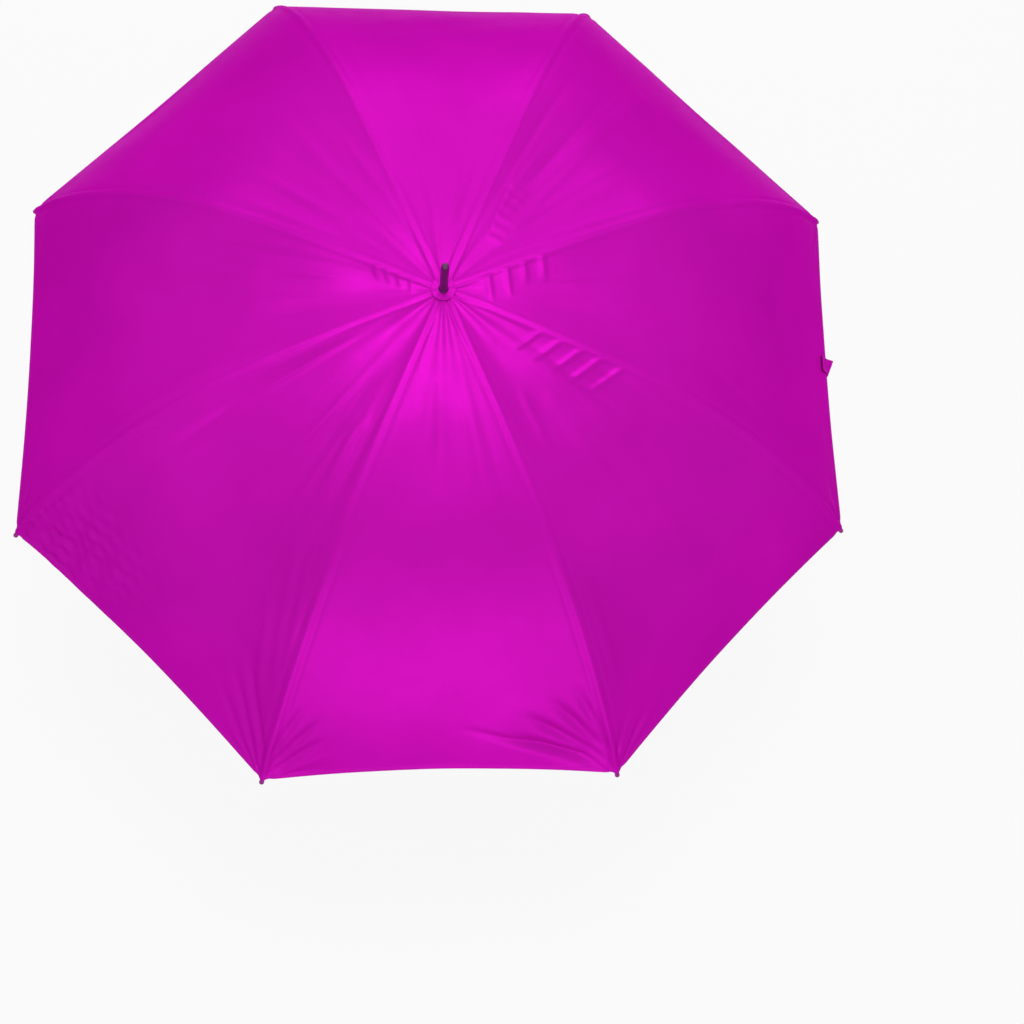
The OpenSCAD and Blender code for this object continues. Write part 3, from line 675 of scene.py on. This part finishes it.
def panel_grid(canopy, gore, run):
    """Points, normals, thicknesses and weave places of one panel's outer face."""
    cloth = canopy.cloth
    half = panel_columns(canopy, gore, run)
    across = np.hstack([half, 1 - half[:, -2::-1]])
    points, normal, weave = outer_face(canopy, gore, run, across)
    hem_from = canopy.length - cloth.hem_fold
    folded = ease(run, hem_from - 0.001, hem_from + 0.0005)[:, None]
    thickness = np.broadcast_to(cloth.thickness * (1 + 0.9 * folded), across.shape)
    return points, normal, thickness, weave


# How far the turned-under edges of a seam reach to each side, so that they meet when the ribs are folded.
SEAM_RUN = (0.0, 0.025, 0.051, 0.076, 0.102, 0.127, 0.152, 0.203, 0.254, 0.279, 0.305,
            0.340, 0.376, 0.411, 0.447, 0.518, 0.590, 0.640, 0.732)
SEAM_REACH = (0.0070, 0.0088, 0.0104, 0.0117, 0.0128, 0.0135, 0.0141, 0.0146, 0.0141, 0.0135, 0.0121,
              0.0165, 0.0190, 0.0205, 0.0210, 0.0205, 0.0180, 0.0150, 0.0080)


def sew_seam(canopy, name, rib, run, finishes):
    """The edges of two panels turned under along their shared rib."""
    cloth = canopy.cloth
    half = canopy.half_width(run)[:, None]
    reach = np.interp(run, SEAM_RUN, SEAM_REACH)[:, None]
    out = np.linspace(0, 1, 10)
    share = out * np.minimum(reach, 0.8 * half) / (2 * half)
    sewing = Sewing()
    area = 0
    before = (rib - 2) % RIBS + 1
    for gore, across, far in ((rib, share, out), (before, 1 - share[:, ::-1], out[::-1])):
        points, normal, weave = outer_face(canopy, gore, run, across)
        top = points - normal * (cloth.thickness + LAYER_GAP + 0.0002 * far[:, None] ** 2)
        under = top - normal * 0.75 * cloth.thickness
        sewing.shell(top, under, normal, weave, CLOTH, LINING, rim_finish=LINING)
        area += grid_area(top)
    return sewing.made(name, finishes), area, 2 * float(reach.max())


def sew_half_panel(canopy, name, grid, rows, columns, side, finishes, lap=None, hem=False):
    """One half panel from a block of the panel's grid, as a closed shell with its lap and hem stitches."""
    points, normal, thickness, weave = (part[rows][:, columns] for part in grid)
    sewing = Sewing()
    sewing.shell(points, points - normal * thickness[..., None], normal, weave, CLOTH, LINING)
    if lap is not None:
        clear = int(0.4 * points.shape[1])
        away = slice(clear, None) if side > 0 else slice(None, -clear)
        over, up, _, thread = (part[lap][:, columns][:, away] for part in grid)
        taper = np.linspace(0, 1, len(over))[:, None, None]
        top = over - up * (canopy.cloth.thickness + LAYER_GAP + 0.00014 * taper)
        under = top - up * (0.00005 + 0.00025 * taper)
        sewing.shell(top, under, up, thread, CLOTH, LINING, rim_finish=LINING)
    if hem:
        hem_stitches(sewing, points, normal, thickness, STITCHED_ROW, canopy.cloth.stitch_pitch)
    return sewing.made(name, finishes), grid_area(points)


class UMBRELLA_OT_canopy(bpy.types.Operator):
    """Sew the eight panels of the canopy over the ribs"""

    bl_idname = "umbrella.canopy"
    bl_label = "Canopy"

    def execute(self, context):
        canopy = Canopy(context.scene.umbrella_crown, context.scene.umbrella_cloth)
        finishes = [satin_cloth(context), silver_lining(context), sewing_thread(context)]
        for gore in range(1, RIBS + 1):
            self.panel(canopy, gore, finishes)
        for rib in range(1, RIBS + 1):
            self.seam(canopy, rib, finishes)
        return {"FINISHED"}

    def panel(self, canopy, gore, finishes):
        """The panel between two ribs, cut along its middle and over its rib joints so that it can fold."""
        run = panel_rows(canopy, gore)
        grid = panel_grid(canopy, gore, run)
        ring = int(np.argmin(np.abs(run - canopy.ring)))
        lap = 0.014
        lap_from = int(np.argmin(np.abs(run - (canopy.ring - lap))))
        middle = grid[0].shape[1] // 2
        halves = ((gore, 1, slice(0, middle + 1)), (gore % RIBS + 1, -1, slice(middle, None)))
        for rib, side, columns in halves:
            mark = "l" if side > 0 else "r"
            piece, area = sew_half_panel(
                canopy, f"crown_cloth_{rib}_{mark}", grid, slice(0, ring + 1), columns, side, finishes)
            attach(piece, f"rib_{rib}")
            gather(piece)
            canopy.half_width(canopy.ring)
            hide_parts(f"canopy_inner_{rib}")
            piece, area = sew_half_panel(
                canopy, f"skirt_cloth_{rib}_{mark}", grid, slice(ring, None), columns, side, finishes,
                lap=slice(lap_from, ring + 2), hem=True)
            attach(piece, f"rod_{rib}")
            gather(piece)
            canopy.half_width(canopy.length)
            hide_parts(f"canopy_outer_{rib}")

    def seam(self, canopy, rib, finishes):
        """The seam over one rib and its rod."""
        hem_from = canopy.length - canopy.cloth.hem_fold - 0.002
        for name, body, rests_on, replaced, run in (
                ("crown_seam", "rib", "rib", "canopy_inner", np.linspace(0, canopy.ring, 150)),
                ("skirt_seam", "rod", "rib_rod", "canopy_outer", np.linspace(canopy.ring, hem_from, 120))):
            piece, area, wide = sew_seam(canopy, f"{name}_{rib}", rib, run, finishes)
            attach(piece, f"{body}_{rib}")
            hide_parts(f"{replaced}_{rib}")


class UMBRELLA_OT_rosette(bpy.types.Operator):
    """Cut the cloth rosette that covers the crown under the ferrule"""

    bl_idname = "umbrella.rosette"
    bl_label = "Rosette"

    def execute(self, context):
        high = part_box("top_cap")[1]
        radius = high.x
        teeth, steps = 28, 112
        hole, tooth, droop, thickness = 0.0042, 0.0011, 0.00045, 0.0005
        rings = np.linspace(hole, radius, 9)
        turn = np.arange(steps + 1) * math.tau / steps
        r, a = np.meshgrid(rings, turn, indexing="ij")
        share = (r - rings[0]) / (radius - rings[0])
        saw = np.abs((a * teeth / math.tau) % 1 - 0.5) * 2
        reach = r - tooth * share ** 4 * saw
        wave = 0.00035 * share * np.cos(5 * a + 0.7) + 0.00022 * share ** 2 * np.cos(11 * a)
        top = np.stack([reach * np.cos(a), reach * np.sin(a), high.z - droop * share + wave], axis=-1)
        normal = across_grid(top)
        seam = (normal[:, :1] + normal[:, -1:]) / 2
        normal[:, :1] = seam
        normal[:, -1:] = seam
        sewing = Sewing()
        weave = np.stack([reach * a, reach], axis=-1)
        sewing.shell(top, top - normal * thickness, normal, weave, CLOTH, CLOTH)
        piece = sewing.made("rosette", [satin_cloth(context)])
        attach(piece, "frame")
        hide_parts("top_cap")
        return {"FINISHED"}


class UMBRELLA_OT_tie_strap(bpy.types.Operator):
    """Sew the tie strap to the hem"""

    bl_idname = "umbrella.tie_strap"
    bl_label = "Tie strap"

    # Columns across the strap as shares of its half width, and the two that are stitched.
    SIDES = np.array([-1, -0.97, -0.9, -0.8, -0.5, 0, 0.5, 0.8, 0.9, 0.97, 1])
    STITCHED = (3, 7)
    MIDDLE = 5
    THREAD = 1

    def execute(self, context):
        cloth = context.scene.umbrella_cloth
        line, spring = self.hung_line(Canopy(context.scene.umbrella_crown, cloth), cloth)
        run = lengths_along(line)
        top, under, face, weave = self.faces(cloth, line, spring, run)
        sewing = Sewing()
        sewing.shell(top, under, across_grid(top), weave, CLOTH, CLOTH)
        for column in self.STITCHED:
            for place in np.arange(0.002, run[-1] - 0.001, cloth.stitch_pitch * 0.8):
                self.edge_stitch(sewing, top[:, column], under[:, column], run, place)
        for place in (0.0025, cloth.strap_sewn - 0.002):
            row = int(np.argmin(np.abs(run - place)))
            for share in np.linspace(-0.66, 0.66, 7):
                self.cross_stitch(sewing, top[row], face[row, self.MIDDLE], share)
        piece = sewing.made("strap_cloth", [satin_cloth(context), sewing_thread(context)])
        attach(piece, "rod_1")
        gather(piece)
        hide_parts("tie_strap")
        return {"FINISHED"}

    def hung_line(self, canopy, cloth):
        """The strap's middle line, out from the shaft and up, and how far each point springs from the hem."""
        end = np.full((1, 1), canopy.length)
        hem = canopy.panel(end, np.full((1, 1), 0.5))[0, 0]
        fall = math.atan(math.tan(float(canopy.slope[-1])) / math.cos(HALF_PITCH))
        lift = cloth.strap_thickness / 2 + 0.0011
        at = np.array([math.hypot(hem[0], hem[1]) + lift * math.sin(fall), hem[2] + lift * math.cos(fall)])
        back = np.array([math.cos(fall), -math.sin(fall)])
        sewn = [at - back * cloth.strap_sewn * (1 - i / 8) for i in range(8)]
        bend = list(arc(at, fall, math.radians(90), cloth.strap_bend, 0, 14))
        hang = [bend[-1] - np.array([0.0012 * math.sin(3.1 * i / 20), cloth.strap_hang * i / 20])
                for i in range(1, 21)]
        line = np.array(sewn + bend + hang)
        loose = lengths_along(line) - cloth.strap_sewn
        spring = cloth.strap_spring * ease(loose, -0.001, 0.013) * (1 - ease(loose, 0.016, 0.065))
        line[:, 0] += spring / 2
        return line, spring

    def faces(self, cloth, line, spring, run):
        """Points of the strap's two faces, their direction and their weave places."""
        sides = self.SIDES
        way = np.gradient(line, axis=0)
        way /= np.linalg.norm(way, axis=1, keepdims=True)
        free = ease(run, cloth.strap_sewn + 0.01, run[-1])[:, None]
        sway = 0.0022 * free * np.sin(38 * run)[:, None]
        y = sides[None, :] * (cloth.strap_width / 2) * np.ones_like(free) + sway
        curl = 0.0012 * free * sides[None, :] ** 2
        out = np.stack([-way[:, 1], way[:, 0]], axis=1)
        thick = 0.55 + 0.45 * np.sqrt(1 - np.abs(sides) ** 8)
        groove = 1 - 0.35 * bump(np.abs(sides) - 0.8, 0.05)
        swell = cloth.strap_thickness / 2 * (thick * groove)[None, :]
        askew = spring[:, None] / 2 * sides[None, :]
        mid = np.stack([line[:, :1] + out[:, :1] * curl + askew, y, line[:, 1:] + out[:, 1:] * curl], axis=-1)
        flat = np.ones_like(y)
        face = np.stack([out[:, :1] * flat, np.zeros_like(y), out[:, 1:] * flat], axis=-1)
        weave = np.stack([y, np.broadcast_to(run[:, None], y.shape)], axis=-1)
        return mid + face * swell[..., None], mid - face * swell[..., None], face, weave

    def edge_stitch(self, sewing, top, under, run, place):
        """A stitch on each face of the strap, along its edge."""
        for line, other in ((top, under), (under, top)):
            here, there = (point_at(place + step, run, line) for step in (-0.0004, 0.0004))
            along = unit(there - here)
            middle = (here + there) / 2
            up = middle - point_at(place, run, other)
            up -= along * (up @ along)
            sewing.stitch(middle, along, unit(up), *STRAP_STITCH, self.THREAD)

    def cross_stitch(self, sewing, line, up, share):
        """A stitch across the strap where it is sewn down."""
        here, there = (point_at(share + step, self.SIDES, line) for step in (-0.02, 0.02))
        sewing.stitch((here + there) / 2, unit(there - here), up, *STRAP_STITCH, self.THREAD)


class UMBRELLA_OT_grip(bpy.types.Operator):
    """Mould the foam grip on the shaft"""

    bl_idname = "umbrella.grip"
    bl_label = "Grip"

    def execute(self, context):
        low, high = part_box("handle_grip")
        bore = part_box("shaft")[1].x
        outline = self.outline(low.z, high.z, high.x, bore)
        rings, steps = len(outline), 72
        a = np.arange(steps) * math.tau / steps
        r = np.repeat(outline[:, :1], steps, axis=1)
        z = np.repeat(outline[:, 1:], steps, axis=1)
        r = r - self.dents(a, z) * (r > bore + 0.003)
        points = np.stack([r * np.cos(a), r * np.sin(a), z], axis=-1).reshape(-1, 3)
        faces = []
        for ring, above in [(i, i + 1) for i in range(rings - 1)] + [(rings - 1, 0)]:
            for j in range(steps):
                beside = (j + 1) % steps
                faces.append(tuple(i * steps + k for i, k in (
                    (ring, j), (ring, beside), (above, beside), (above, j))))
        mesh = bpy.data.meshes.new("foam_grip")
        mesh.from_pydata([tuple(p) for p in points], [], faces)
        mesh.polygons.foreach_set("use_smooth", [True] * len(faces))
        mesh.materials.append(grip_foam(context))
        mesh.update()
        piece = bpy.data.objects.new("foam_grip", mesh)
        context.scene.collection.objects.link(piece)
        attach(piece, "frame")
        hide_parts("handle_grip")
        return {"FINISHED"}

    def outline(self, foot_z, head_z, radius, bore):
        """The grip's closed outline, as distances from the shaft's axis and heights."""
        corner, flat = 0.0032, 0.004
        turn = np.linspace(0, math.pi / 2, 7)
        foot = [(radius - corner * (1 - math.sin(a)), foot_z + corner * (1 - math.cos(a))) for a in turn]
        head = [(radius - corner * (1 - math.cos(a)), head_z - corner * (1 - math.sin(a))) for a in turn]
        wall = [(radius, z) for z in np.linspace(foot_z + corner, head_z - corner, 40)[1:-1]]
        return np.array([(bore, foot_z), (bore + flat, foot_z)] + foot + wall + head
                        + [(bore + flat, head_z), (bore, head_z)])

    def dents(self, turn, height):
        """Depth of the shallow dents that use leaves in foam."""
        rng = np.random.default_rng(7)
        total = np.zeros_like(height)
        for _ in range(14):
            waves, tall, shift = rng.integers(1, 7), rng.uniform(20, 190), rng.uniform(0, math.tau)
            total += np.cos(waves * turn[None, :] + tall * height + shift)
        return 0.00012 * np.clip(total / 4 + 1, 0, 2)


# Finishes: what each surface is made of.

class Finish:
    """A new material whose nodes are added one at a time."""

    def __init__(self, name):
        self.material = bpy.data.materials.new(name)
        self.material.use_nodes = True
        self.tree = self.material.node_tree
        self.surface = self.tree.nodes["Principled BSDF"]

    def add(self, kind, props=None, **inputs):
        """A new node with its settings and inputs."""
        node = self.tree.nodes.new(kind)
        for key, value in (props or {}).items():
            setattr(node, key, value)
        for key, value in inputs.items():
            self.set(node, key, value)
        return node

    def set(self, node, key, value):
        """Links or sets one input, called by its name or, as i0 and i1, by its place."""
        numbered = key[0] == "i" and key[1:].isdigit()
        socket = node.inputs[int(key[1:]) if numbered else key.replace("_", " ")]
        if isinstance(value, bpy.types.NodeSocket):
            self.tree.links.new(value, socket)
        else:
            socket.default_value = value

    def look(self, **inputs):
        """Sets inputs of the surface itself."""
        for key, value in inputs.items():
            self.set(self.surface, key, value)
        return self

    def noise(self, size, detail=2.0, roughness=0.5, place=None):
        """Noise whose blotches are about size metres across."""
        if place is None:
            place = self.add("ShaderNodeTexCoord").outputs["Object"]
        return self.add("ShaderNodeTexNoise", Vector=place, Scale=1 / size, Detail=detail,
                        Roughness=roughness).outputs["Fac"]

    def between(self, factor, low, high):
        """A number from low to high as the factor goes from 0.3 to 0.7."""
        return self.add("ShaderNodeMapRange", Value=factor, From_Min=0.3, From_Max=0.7, To_Min=low,
                        To_Max=high).outputs["Result"]

    def tint(self, factor, first, second):
        """A colour between two, by a factor."""
        node = self.add("ShaderNodeMix", {"data_type": "RGBA"})
        self.tree.links.new(factor, node.inputs["Factor"])
        node.inputs[6].default_value = (*first, 1)
        node.inputs[7].default_value = (*second, 1)
        return node.outputs[2]

    def raised(self, height, depth, strength=1.0, over=None):
        """Bumps of the given depth in metres."""
        node = self.add("ShaderNodeBump", Height=height, Strength=strength, Distance=depth)
        if over is not None:
            self.tree.links.new(over, node.inputs["Normal"])
        return node.outputs["Normal"]

    def threads(self, pitch):
        """A plain weave of threads on the cloth's own measure."""
        place = self.add("ShaderNodeUVMap", {"uv_map": "weave"}).outputs["UV"]
        warp, weft = (
            self.add("ShaderNodeTexWave", {"bands_direction": way, "wave_profile": "SIN"}, Vector=place,
                     Scale=math.tau / 20 / pitch, Distortion=0.0).outputs["Fac"]
            for way in ("X", "Y"))
        return self.add("ShaderNodeMath", {"operation": "MULTIPLY"}, i0=warp, i1=weft).outputs[0]

    def blend(self, factor, colour, low, high):
        """A colour between two shades of itself, by a noise."""
        return self.tint(self.between(factor, 0, 1), shade(colour, low), shade(colour, high))


def once(make):
    """Makes a material the first time and gives the same one after that."""
    kept = {}

    def given(context):
        if make.__name__ not in kept:
            kept[make.__name__] = make(context.scene.umbrella_colours)
        return kept[make.__name__]
    return given


def shade(colour, by):
    """A colour made lighter or darker."""
    return tuple(min(1.0, c * by) for c in colour)


@once
def satin_cloth(colours):
    """Tight polyester weave with a soft, tinted shine."""
    cloth = Finish("satin_cloth_magenta")
    base = cloth.blend(cloth.noise(0.22, 3), colours.magenta, 0.93, 1.07)
    fine = cloth.noise(0.03, 4, 0.6)
    rough = cloth.between(fine, 0.33, 0.40)
    creases = cloth.raised(fine, 0.00025, 0.35)
    weave = cloth.raised(cloth.threads(0.0007), 0.00006, 0.5, creases)
    cloth.look(Base_Color=base, Metallic=0.38, Roughness=rough, Specular_IOR_Level=0.0,
               Specular_Tint=(1.0, 0.25, 0.85, 1), Normal=weave)
    return cloth.material


@once
def silver_lining(colours):
    """Aluminised coating over the weave."""
    lining = Finish("silver_lining")
    base = lining.blend(lining.noise(0.12, 4), colours.lining, 0.93, 1.06)
    fine = lining.noise(0.012, 3, 0.6)
    creases = lining.raised(fine, 0.0002, 0.3)
    weave = lining.raised(lining.threads(0.0007), 0.00006, 0.4, creases)
    lining.look(Base_Color=base, Metallic=0.45, Roughness=lining.between(fine, 0.46, 0.56),
                Specular_IOR_Level=0.4, Normal=weave)
    return lining.material


@once
def sewing_thread(colours):
    """Twisted polyester thread."""
    thread = Finish("sewing_thread")
    twist = thread.noise(0.0006, 1)
    thread.look(Base_Color=thread.tint(twist, shade(colours.thread, 0.8), shade(colours.thread, 1.15)),
                Roughness=0.55, Specular_IOR_Level=0.3, Sheen_Weight=0.2)
    return thread.material


@once
def painted_tube(colours):
    """Black lacquer on the steel shaft, with faint drawn lines and handling wear."""
    paint = Finish("painted_shaft_black")
    place = paint.add("ShaderNodeMapping", Vector=paint.add("ShaderNodeTexCoord").outputs["Object"],
                      Scale=(1, 1, 0.06)).outputs["Vector"]
    lines = paint.noise(0.0012, 2, 0.5, place)
    wear = paint.noise(0.06, 4)
    paint.look(Base_Color=paint.blend(wear, colours.black, 1, 1.7), Metallic=0.25,
               Roughness=paint.between(wear, 0.26, 0.38), Coat_Weight=0.35, Coat_Roughness=0.15,
               Normal=paint.raised(lines, 0.00003, 0.5))
    return paint.material


@once
def enamelled_steel(colours):
    """Stoved black enamel on the pressed ribs and stretchers."""
    enamel = Finish("rib_enamel_black")
    peel = enamel.noise(0.0022, 3, 0.55)
    wear = enamel.noise(0.018, 4, 0.6)
    enamel.look(Base_Color=enamel.blend(wear, colours.black, 1, 1.9), Metallic=0.2,
                Roughness=enamel.between(peel, 0.30, 0.44), Normal=enamel.raised(peel, 0.00006, 0.5))
    return enamel.material


@once
def rod_glassfibre(colours):
    """Pulled glass fibre rod, black, with fine lengthwise streaks."""
    rod = Finish("rod_glassfibre_black")
    streak = rod.noise(0.004, 5, 0.7)
    rod.look(Base_Color=rod.blend(streak, colours.black, 1, 2.2),
             Roughness=rod.between(streak, 0.34, 0.5), Normal=rod.raised(streak, 0.00004, 0.4))
    return rod.material


@once
def moulded_plastic(colours):
    """Moulded black plastic of the runner, notch and handle ends, with a fine spark grain."""
    plastic = Finish("moulded_plastic_black")
    grain = plastic.noise(0.0009, 2, 0.6)
    bloom = plastic.noise(0.03, 3)
    plastic.look(Base_Color=plastic.blend(bloom, colours.black, 1.1, 1.8),
                 Roughness=plastic.between(bloom, 0.38, 0.48), Specular_IOR_Level=0.45,
                 Normal=plastic.raised(grain, 0.00005, 0.6))
    return plastic.material


@once
def ferrule_plastic(colours):
    """Glossy dark purple plastic of the ferrule."""
    point = Finish("ferrule_plastic_purple")
    haze = point.noise(0.02, 4)
    scuff = point.noise(0.0016, 2)
    point.look(Base_Color=point.blend(haze, colours.ferrule, 1, 1.3),
               Roughness=point.between(scuff, 0.22, 0.34), Normal=point.raised(scuff, 0.00003, 0.4))
    return point.material


@once
def tip_plastic(colours):
    """Moulded magenta plastic of the rib tips."""
    tip = Finish("tip_plastic_magenta")
    haze = tip.noise(0.008, 3)
    tip.look(Base_Color=tip.blend(haze, colours.magenta, 0.55, 0.65), Specular_IOR_Level=0.1,
             Roughness=tip.between(haze, 0.3, 0.4), Normal=tip.raised(tip.noise(0.001), 0.00004, 0.4))
    return tip.material


@once
def bare_wire(colours):
    """Drawn steel wire and spring strip."""
    wire = Finish("bare_steel_wire")
    drawn = wire.noise(0.0015, 4, 0.7)
    wire.look(Base_Color=wire.blend(drawn, colours.wire, 0.85, 1.1), Metallic=1.0,
              Roughness=wire.between(drawn, 0.25, 0.42), Normal=wire.raised(drawn, 0.00003, 0.4))
    return wire.material


@once
def grip_foam(colours):
    """Closed-cell foam with its fine open-cut skin."""
    foam = Finish("grip_foam_black")
    cells = foam.add("ShaderNodeTexVoronoi", Vector=foam.add("ShaderNodeTexCoord").outputs["Object"],
                     Scale=1 / 0.0011).outputs["Distance"]
    blotch = foam.noise(0.03, 4)
    pits = foam.raised(cells, 0.00022, 0.7)
    foam.look(Base_Color=foam.blend(blotch, colours.foam, 1, 1.7), Roughness=foam.between(blotch, 0.78, 0.9),
              Specular_IOR_Level=0.25, Sheen_Weight=0.08, Normal=pits)
    return foam.material


class UMBRELLA_OT_frame_finish(bpy.types.Operator):
    """Finish every rigid piece of the frame and handle"""

    bl_idname = "umbrella.frame_finish"
    bl_label = "Frame finishes"

    FINISHES = (
        ("shaft", painted_tube), ("ferrule", ferrule_plastic), ("top_cap", satin_cloth),
        ("top_notch", moulded_plastic), ("notch_wire", bare_wire), ("handle_grip", grip_foam),
        ("handle_collar", moulded_plastic), ("handle_end_cap", moulded_plastic), ("top_catch", bare_wire),
        ("runner_wire", bare_wire), ("runner", moulded_plastic), ("tie_strap", satin_cloth),
        ("rib_rod_", rod_glassfibre), ("rib_tip_", tip_plastic), ("rib_", enamelled_steel),
        ("stretcher_", enamelled_steel), ("canopy_", satin_cloth))

    def execute(self, context):
        for name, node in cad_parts.items():
            finish = next((make for start, make in self.FINISHES if name.startswith(start)), None)
            if finish is None:
                raise RuntimeError(f"no finish is set for {name}")
            node.data.materials.clear()
            node.data.materials.append(finish(context))
        return {"FINISHED"}


def seen_rays(tree):
    """1 for rays that show the picture, straight or in gloss and glass, and 0 for rays that light things."""
    rays = tree.nodes.new("ShaderNodeLightPath")
    seen = rays.outputs["Is Camera Ray"]
    for ray in ("Is Glossy Ray", "Is Transmission Ray"):
        either = tree.nodes.new("ShaderNodeMath")
        either.operation = "MAXIMUM"
        tree.links.new(seen, either.inputs[0])
        tree.links.new(rays.outputs[ray], either.inputs[1])
        seen = either.outputs[0]
    return seen


def aim_at(thing, target):
    """Turns a lamp to face a point."""
    way = Vector(target) - thing.location
    thing.rotation_euler = way.to_track_quat("-Z", "Y").to_euler()


class UMBRELLA_OT_stage(bpy.types.Operator):
    """Lay the floor, hang the lights and set the camera"""

    bl_idname = "umbrella.stage"
    bl_label = "Stage"

    # Name, place, aim, width, height and power of each lamp.
    LAMPS = (("softbox_top", (0.0, 0.62, 3.5), (0.0, 0.619, 0.85), 1.25, 1.0, 20),
             ("softbox_back", (0.2, 2.8, 2.3), (0, 0, 0.85), 2.6, 2.2, 17),
             ("softbox_front", (0.1, -3.0, 1.3), (0, 0, 0.8), 2.4, 2.4, 18))

    # The camera's place and directions, fitted to the photograph.
    CAMERA_PLACE = (-0.0574, -0.6588, 2.4863)
    CAMERA_RIGHT = (0.9970, -0.0228, 0.0795)
    CAMERA_FORWARD = (0.0825, 0.2257, -0.9708)

    def execute(self, context):
        scene = context.scene
        scene.view_settings.view_transform = "Standard"
        self.floor(scene)
        self.lights(scene)
        self.camera(scene)
        return {"FINISHED"}

    def floor(self, scene):
        """A wide sheet of white paper under the handle, clear from below."""
        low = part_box("handle_end_cap")[0].z
        size = 9.0
        mesh = bpy.data.meshes.new("studio_floor")
        mesh.from_pydata([(-size, -size, low), (size, -size, low), (size, size, low), (-size, size, low)], [],
                         [(0, 1, 2, 3)])
        paper = Finish("studio_paper")
        grain = paper.noise(0.004, 3)
        paper.look(Base_Color=paper.tint(grain, (0.86, 0.86, 0.86), (0.88, 0.88, 0.88)), Roughness=0.9,
                   Specular_IOR_Level=0.1)
        seen = seen_rays(paper.tree)
        share = paper.add("ShaderNodeMath", {"operation": "MULTIPLY"}, i0=seen, i1=0.86).outputs[0]
        white = paper.add("ShaderNodeEmission", Strength=1.0)
        lit = paper.add("ShaderNodeMixShader", i0=share, i1=paper.surface.outputs[0], i2=white.outputs[0])
        below = paper.add("ShaderNodeNewGeometry").outputs["Backfacing"]
        clear = paper.add("ShaderNodeBsdfTransparent")
        mix = paper.add("ShaderNodeMixShader", i0=below, i1=lit.outputs[0], i2=clear.outputs[0])
        paper.tree.links.new(mix.outputs[0], paper.tree.nodes["Material Output"].inputs["Surface"])
        mesh.materials.append(paper.material)
        floor = bpy.data.objects.new("studio_floor", mesh)
        scene.collection.objects.link(floor)

    def lights(self, scene):
        """A white surround and three soft lamps."""
        world = bpy.data.worlds.new("studio_surround")
        world.use_nodes = True
        tree = world.node_tree
        strength = tree.nodes.new("ShaderNodeMapRange")
        strength.inputs["To Min"].default_value = 0.58
        strength.inputs["To Max"].default_value = 1.0
        tree.links.new(seen_rays(tree), strength.inputs["Value"])
        tree.nodes["Background"].inputs["Color"].default_value = (1, 1, 1, 1)
        tree.links.new(strength.outputs[0], tree.nodes["Background"].inputs["Strength"])
        scene.world = world
        for name, place, aim, wide, tall, power in self.LAMPS:
            data = bpy.data.lights.new(name, "AREA")
            data.shape = "RECTANGLE"
            data.size = wide
            data.size_y = tall
            data.energy = power
            lamp = bpy.data.objects.new(name, data)
            lamp.location = place
            aim_at(lamp, aim)
            scene.collection.objects.link(lamp)

    def camera(self, scene):
        """The camera of the photograph's large view."""
        data = bpy.data.cameras.new("photo_camera")
        data.lens = 48.38
        data.sensor_width = 36.0
        camera = bpy.data.objects.new("photo_camera", data)
        forward = unit(np.array(self.CAMERA_FORWARD))
        right = np.array(self.CAMERA_RIGHT)
        right = unit(right - forward * (right @ forward))
        up = np.cross(right, forward)
        place = np.eye(4)
        place[:3, 0], place[:3, 1], place[:3, 2] = right, up, -forward
        place[:3, 3] = self.CAMERA_PLACE
        camera.matrix_world = Matrix(place.tolist())
        scene.collection.objects.link(camera)
        scene.camera = camera


class UMBRELLA_PT_dressing(bpy.types.Panel):
    """Sizes, colours and steps of the umbrella's dressing"""

    bl_label = "Umbrella"
    bl_idname = "UMBRELLA_PT_dressing"
    bl_space_type = "VIEW_3D"
    bl_region_type = "UI"
    bl_category = "Umbrella"

    def draw(self, context):
        for group_name in GROUPS:
            group = getattr(context.scene, group_name)
            box = self.layout.box()
            for name in group.__annotations__:
                box.prop(group, name)
        for step in STEPS:
            self.layout.operator(step.bl_idname)


GROUPS = {"umbrella_crown": CrownSizes, "umbrella_cloth": ClothSizes, "umbrella_colours": UmbrellaColours}
STEPS = (UMBRELLA_OT_frame_finish, UMBRELLA_OT_canopy, UMBRELLA_OT_rosette, UMBRELLA_OT_tie_strap,
         UMBRELLA_OT_grip, UMBRELLA_OT_stage)


def register():
    for cls in (*GROUPS.values(), *STEPS, UMBRELLA_PT_dressing):
        bpy.utils.register_class(cls)
    for name, group in GROUPS.items():
        setattr(bpy.types.Scene, name, bpy.props.PointerProperty(type=group))


def unregister():
    for name in GROUPS:
        delattr(bpy.types.Scene, name)
    for cls in reversed((*GROUPS.values(), *STEPS, UMBRELLA_PT_dressing)):
        bpy.utils.unregister_class(cls)


def main():
    register()
    bpy.ops.umbrella.frame_finish()
    bpy.ops.umbrella.canopy()
    bpy.ops.umbrella.rosette()
    bpy.ops.umbrella.tie_strap()
    bpy.ops.umbrella.grip()
    bpy.ops.umbrella.stage()


if __name__ == "__main__":
    main()
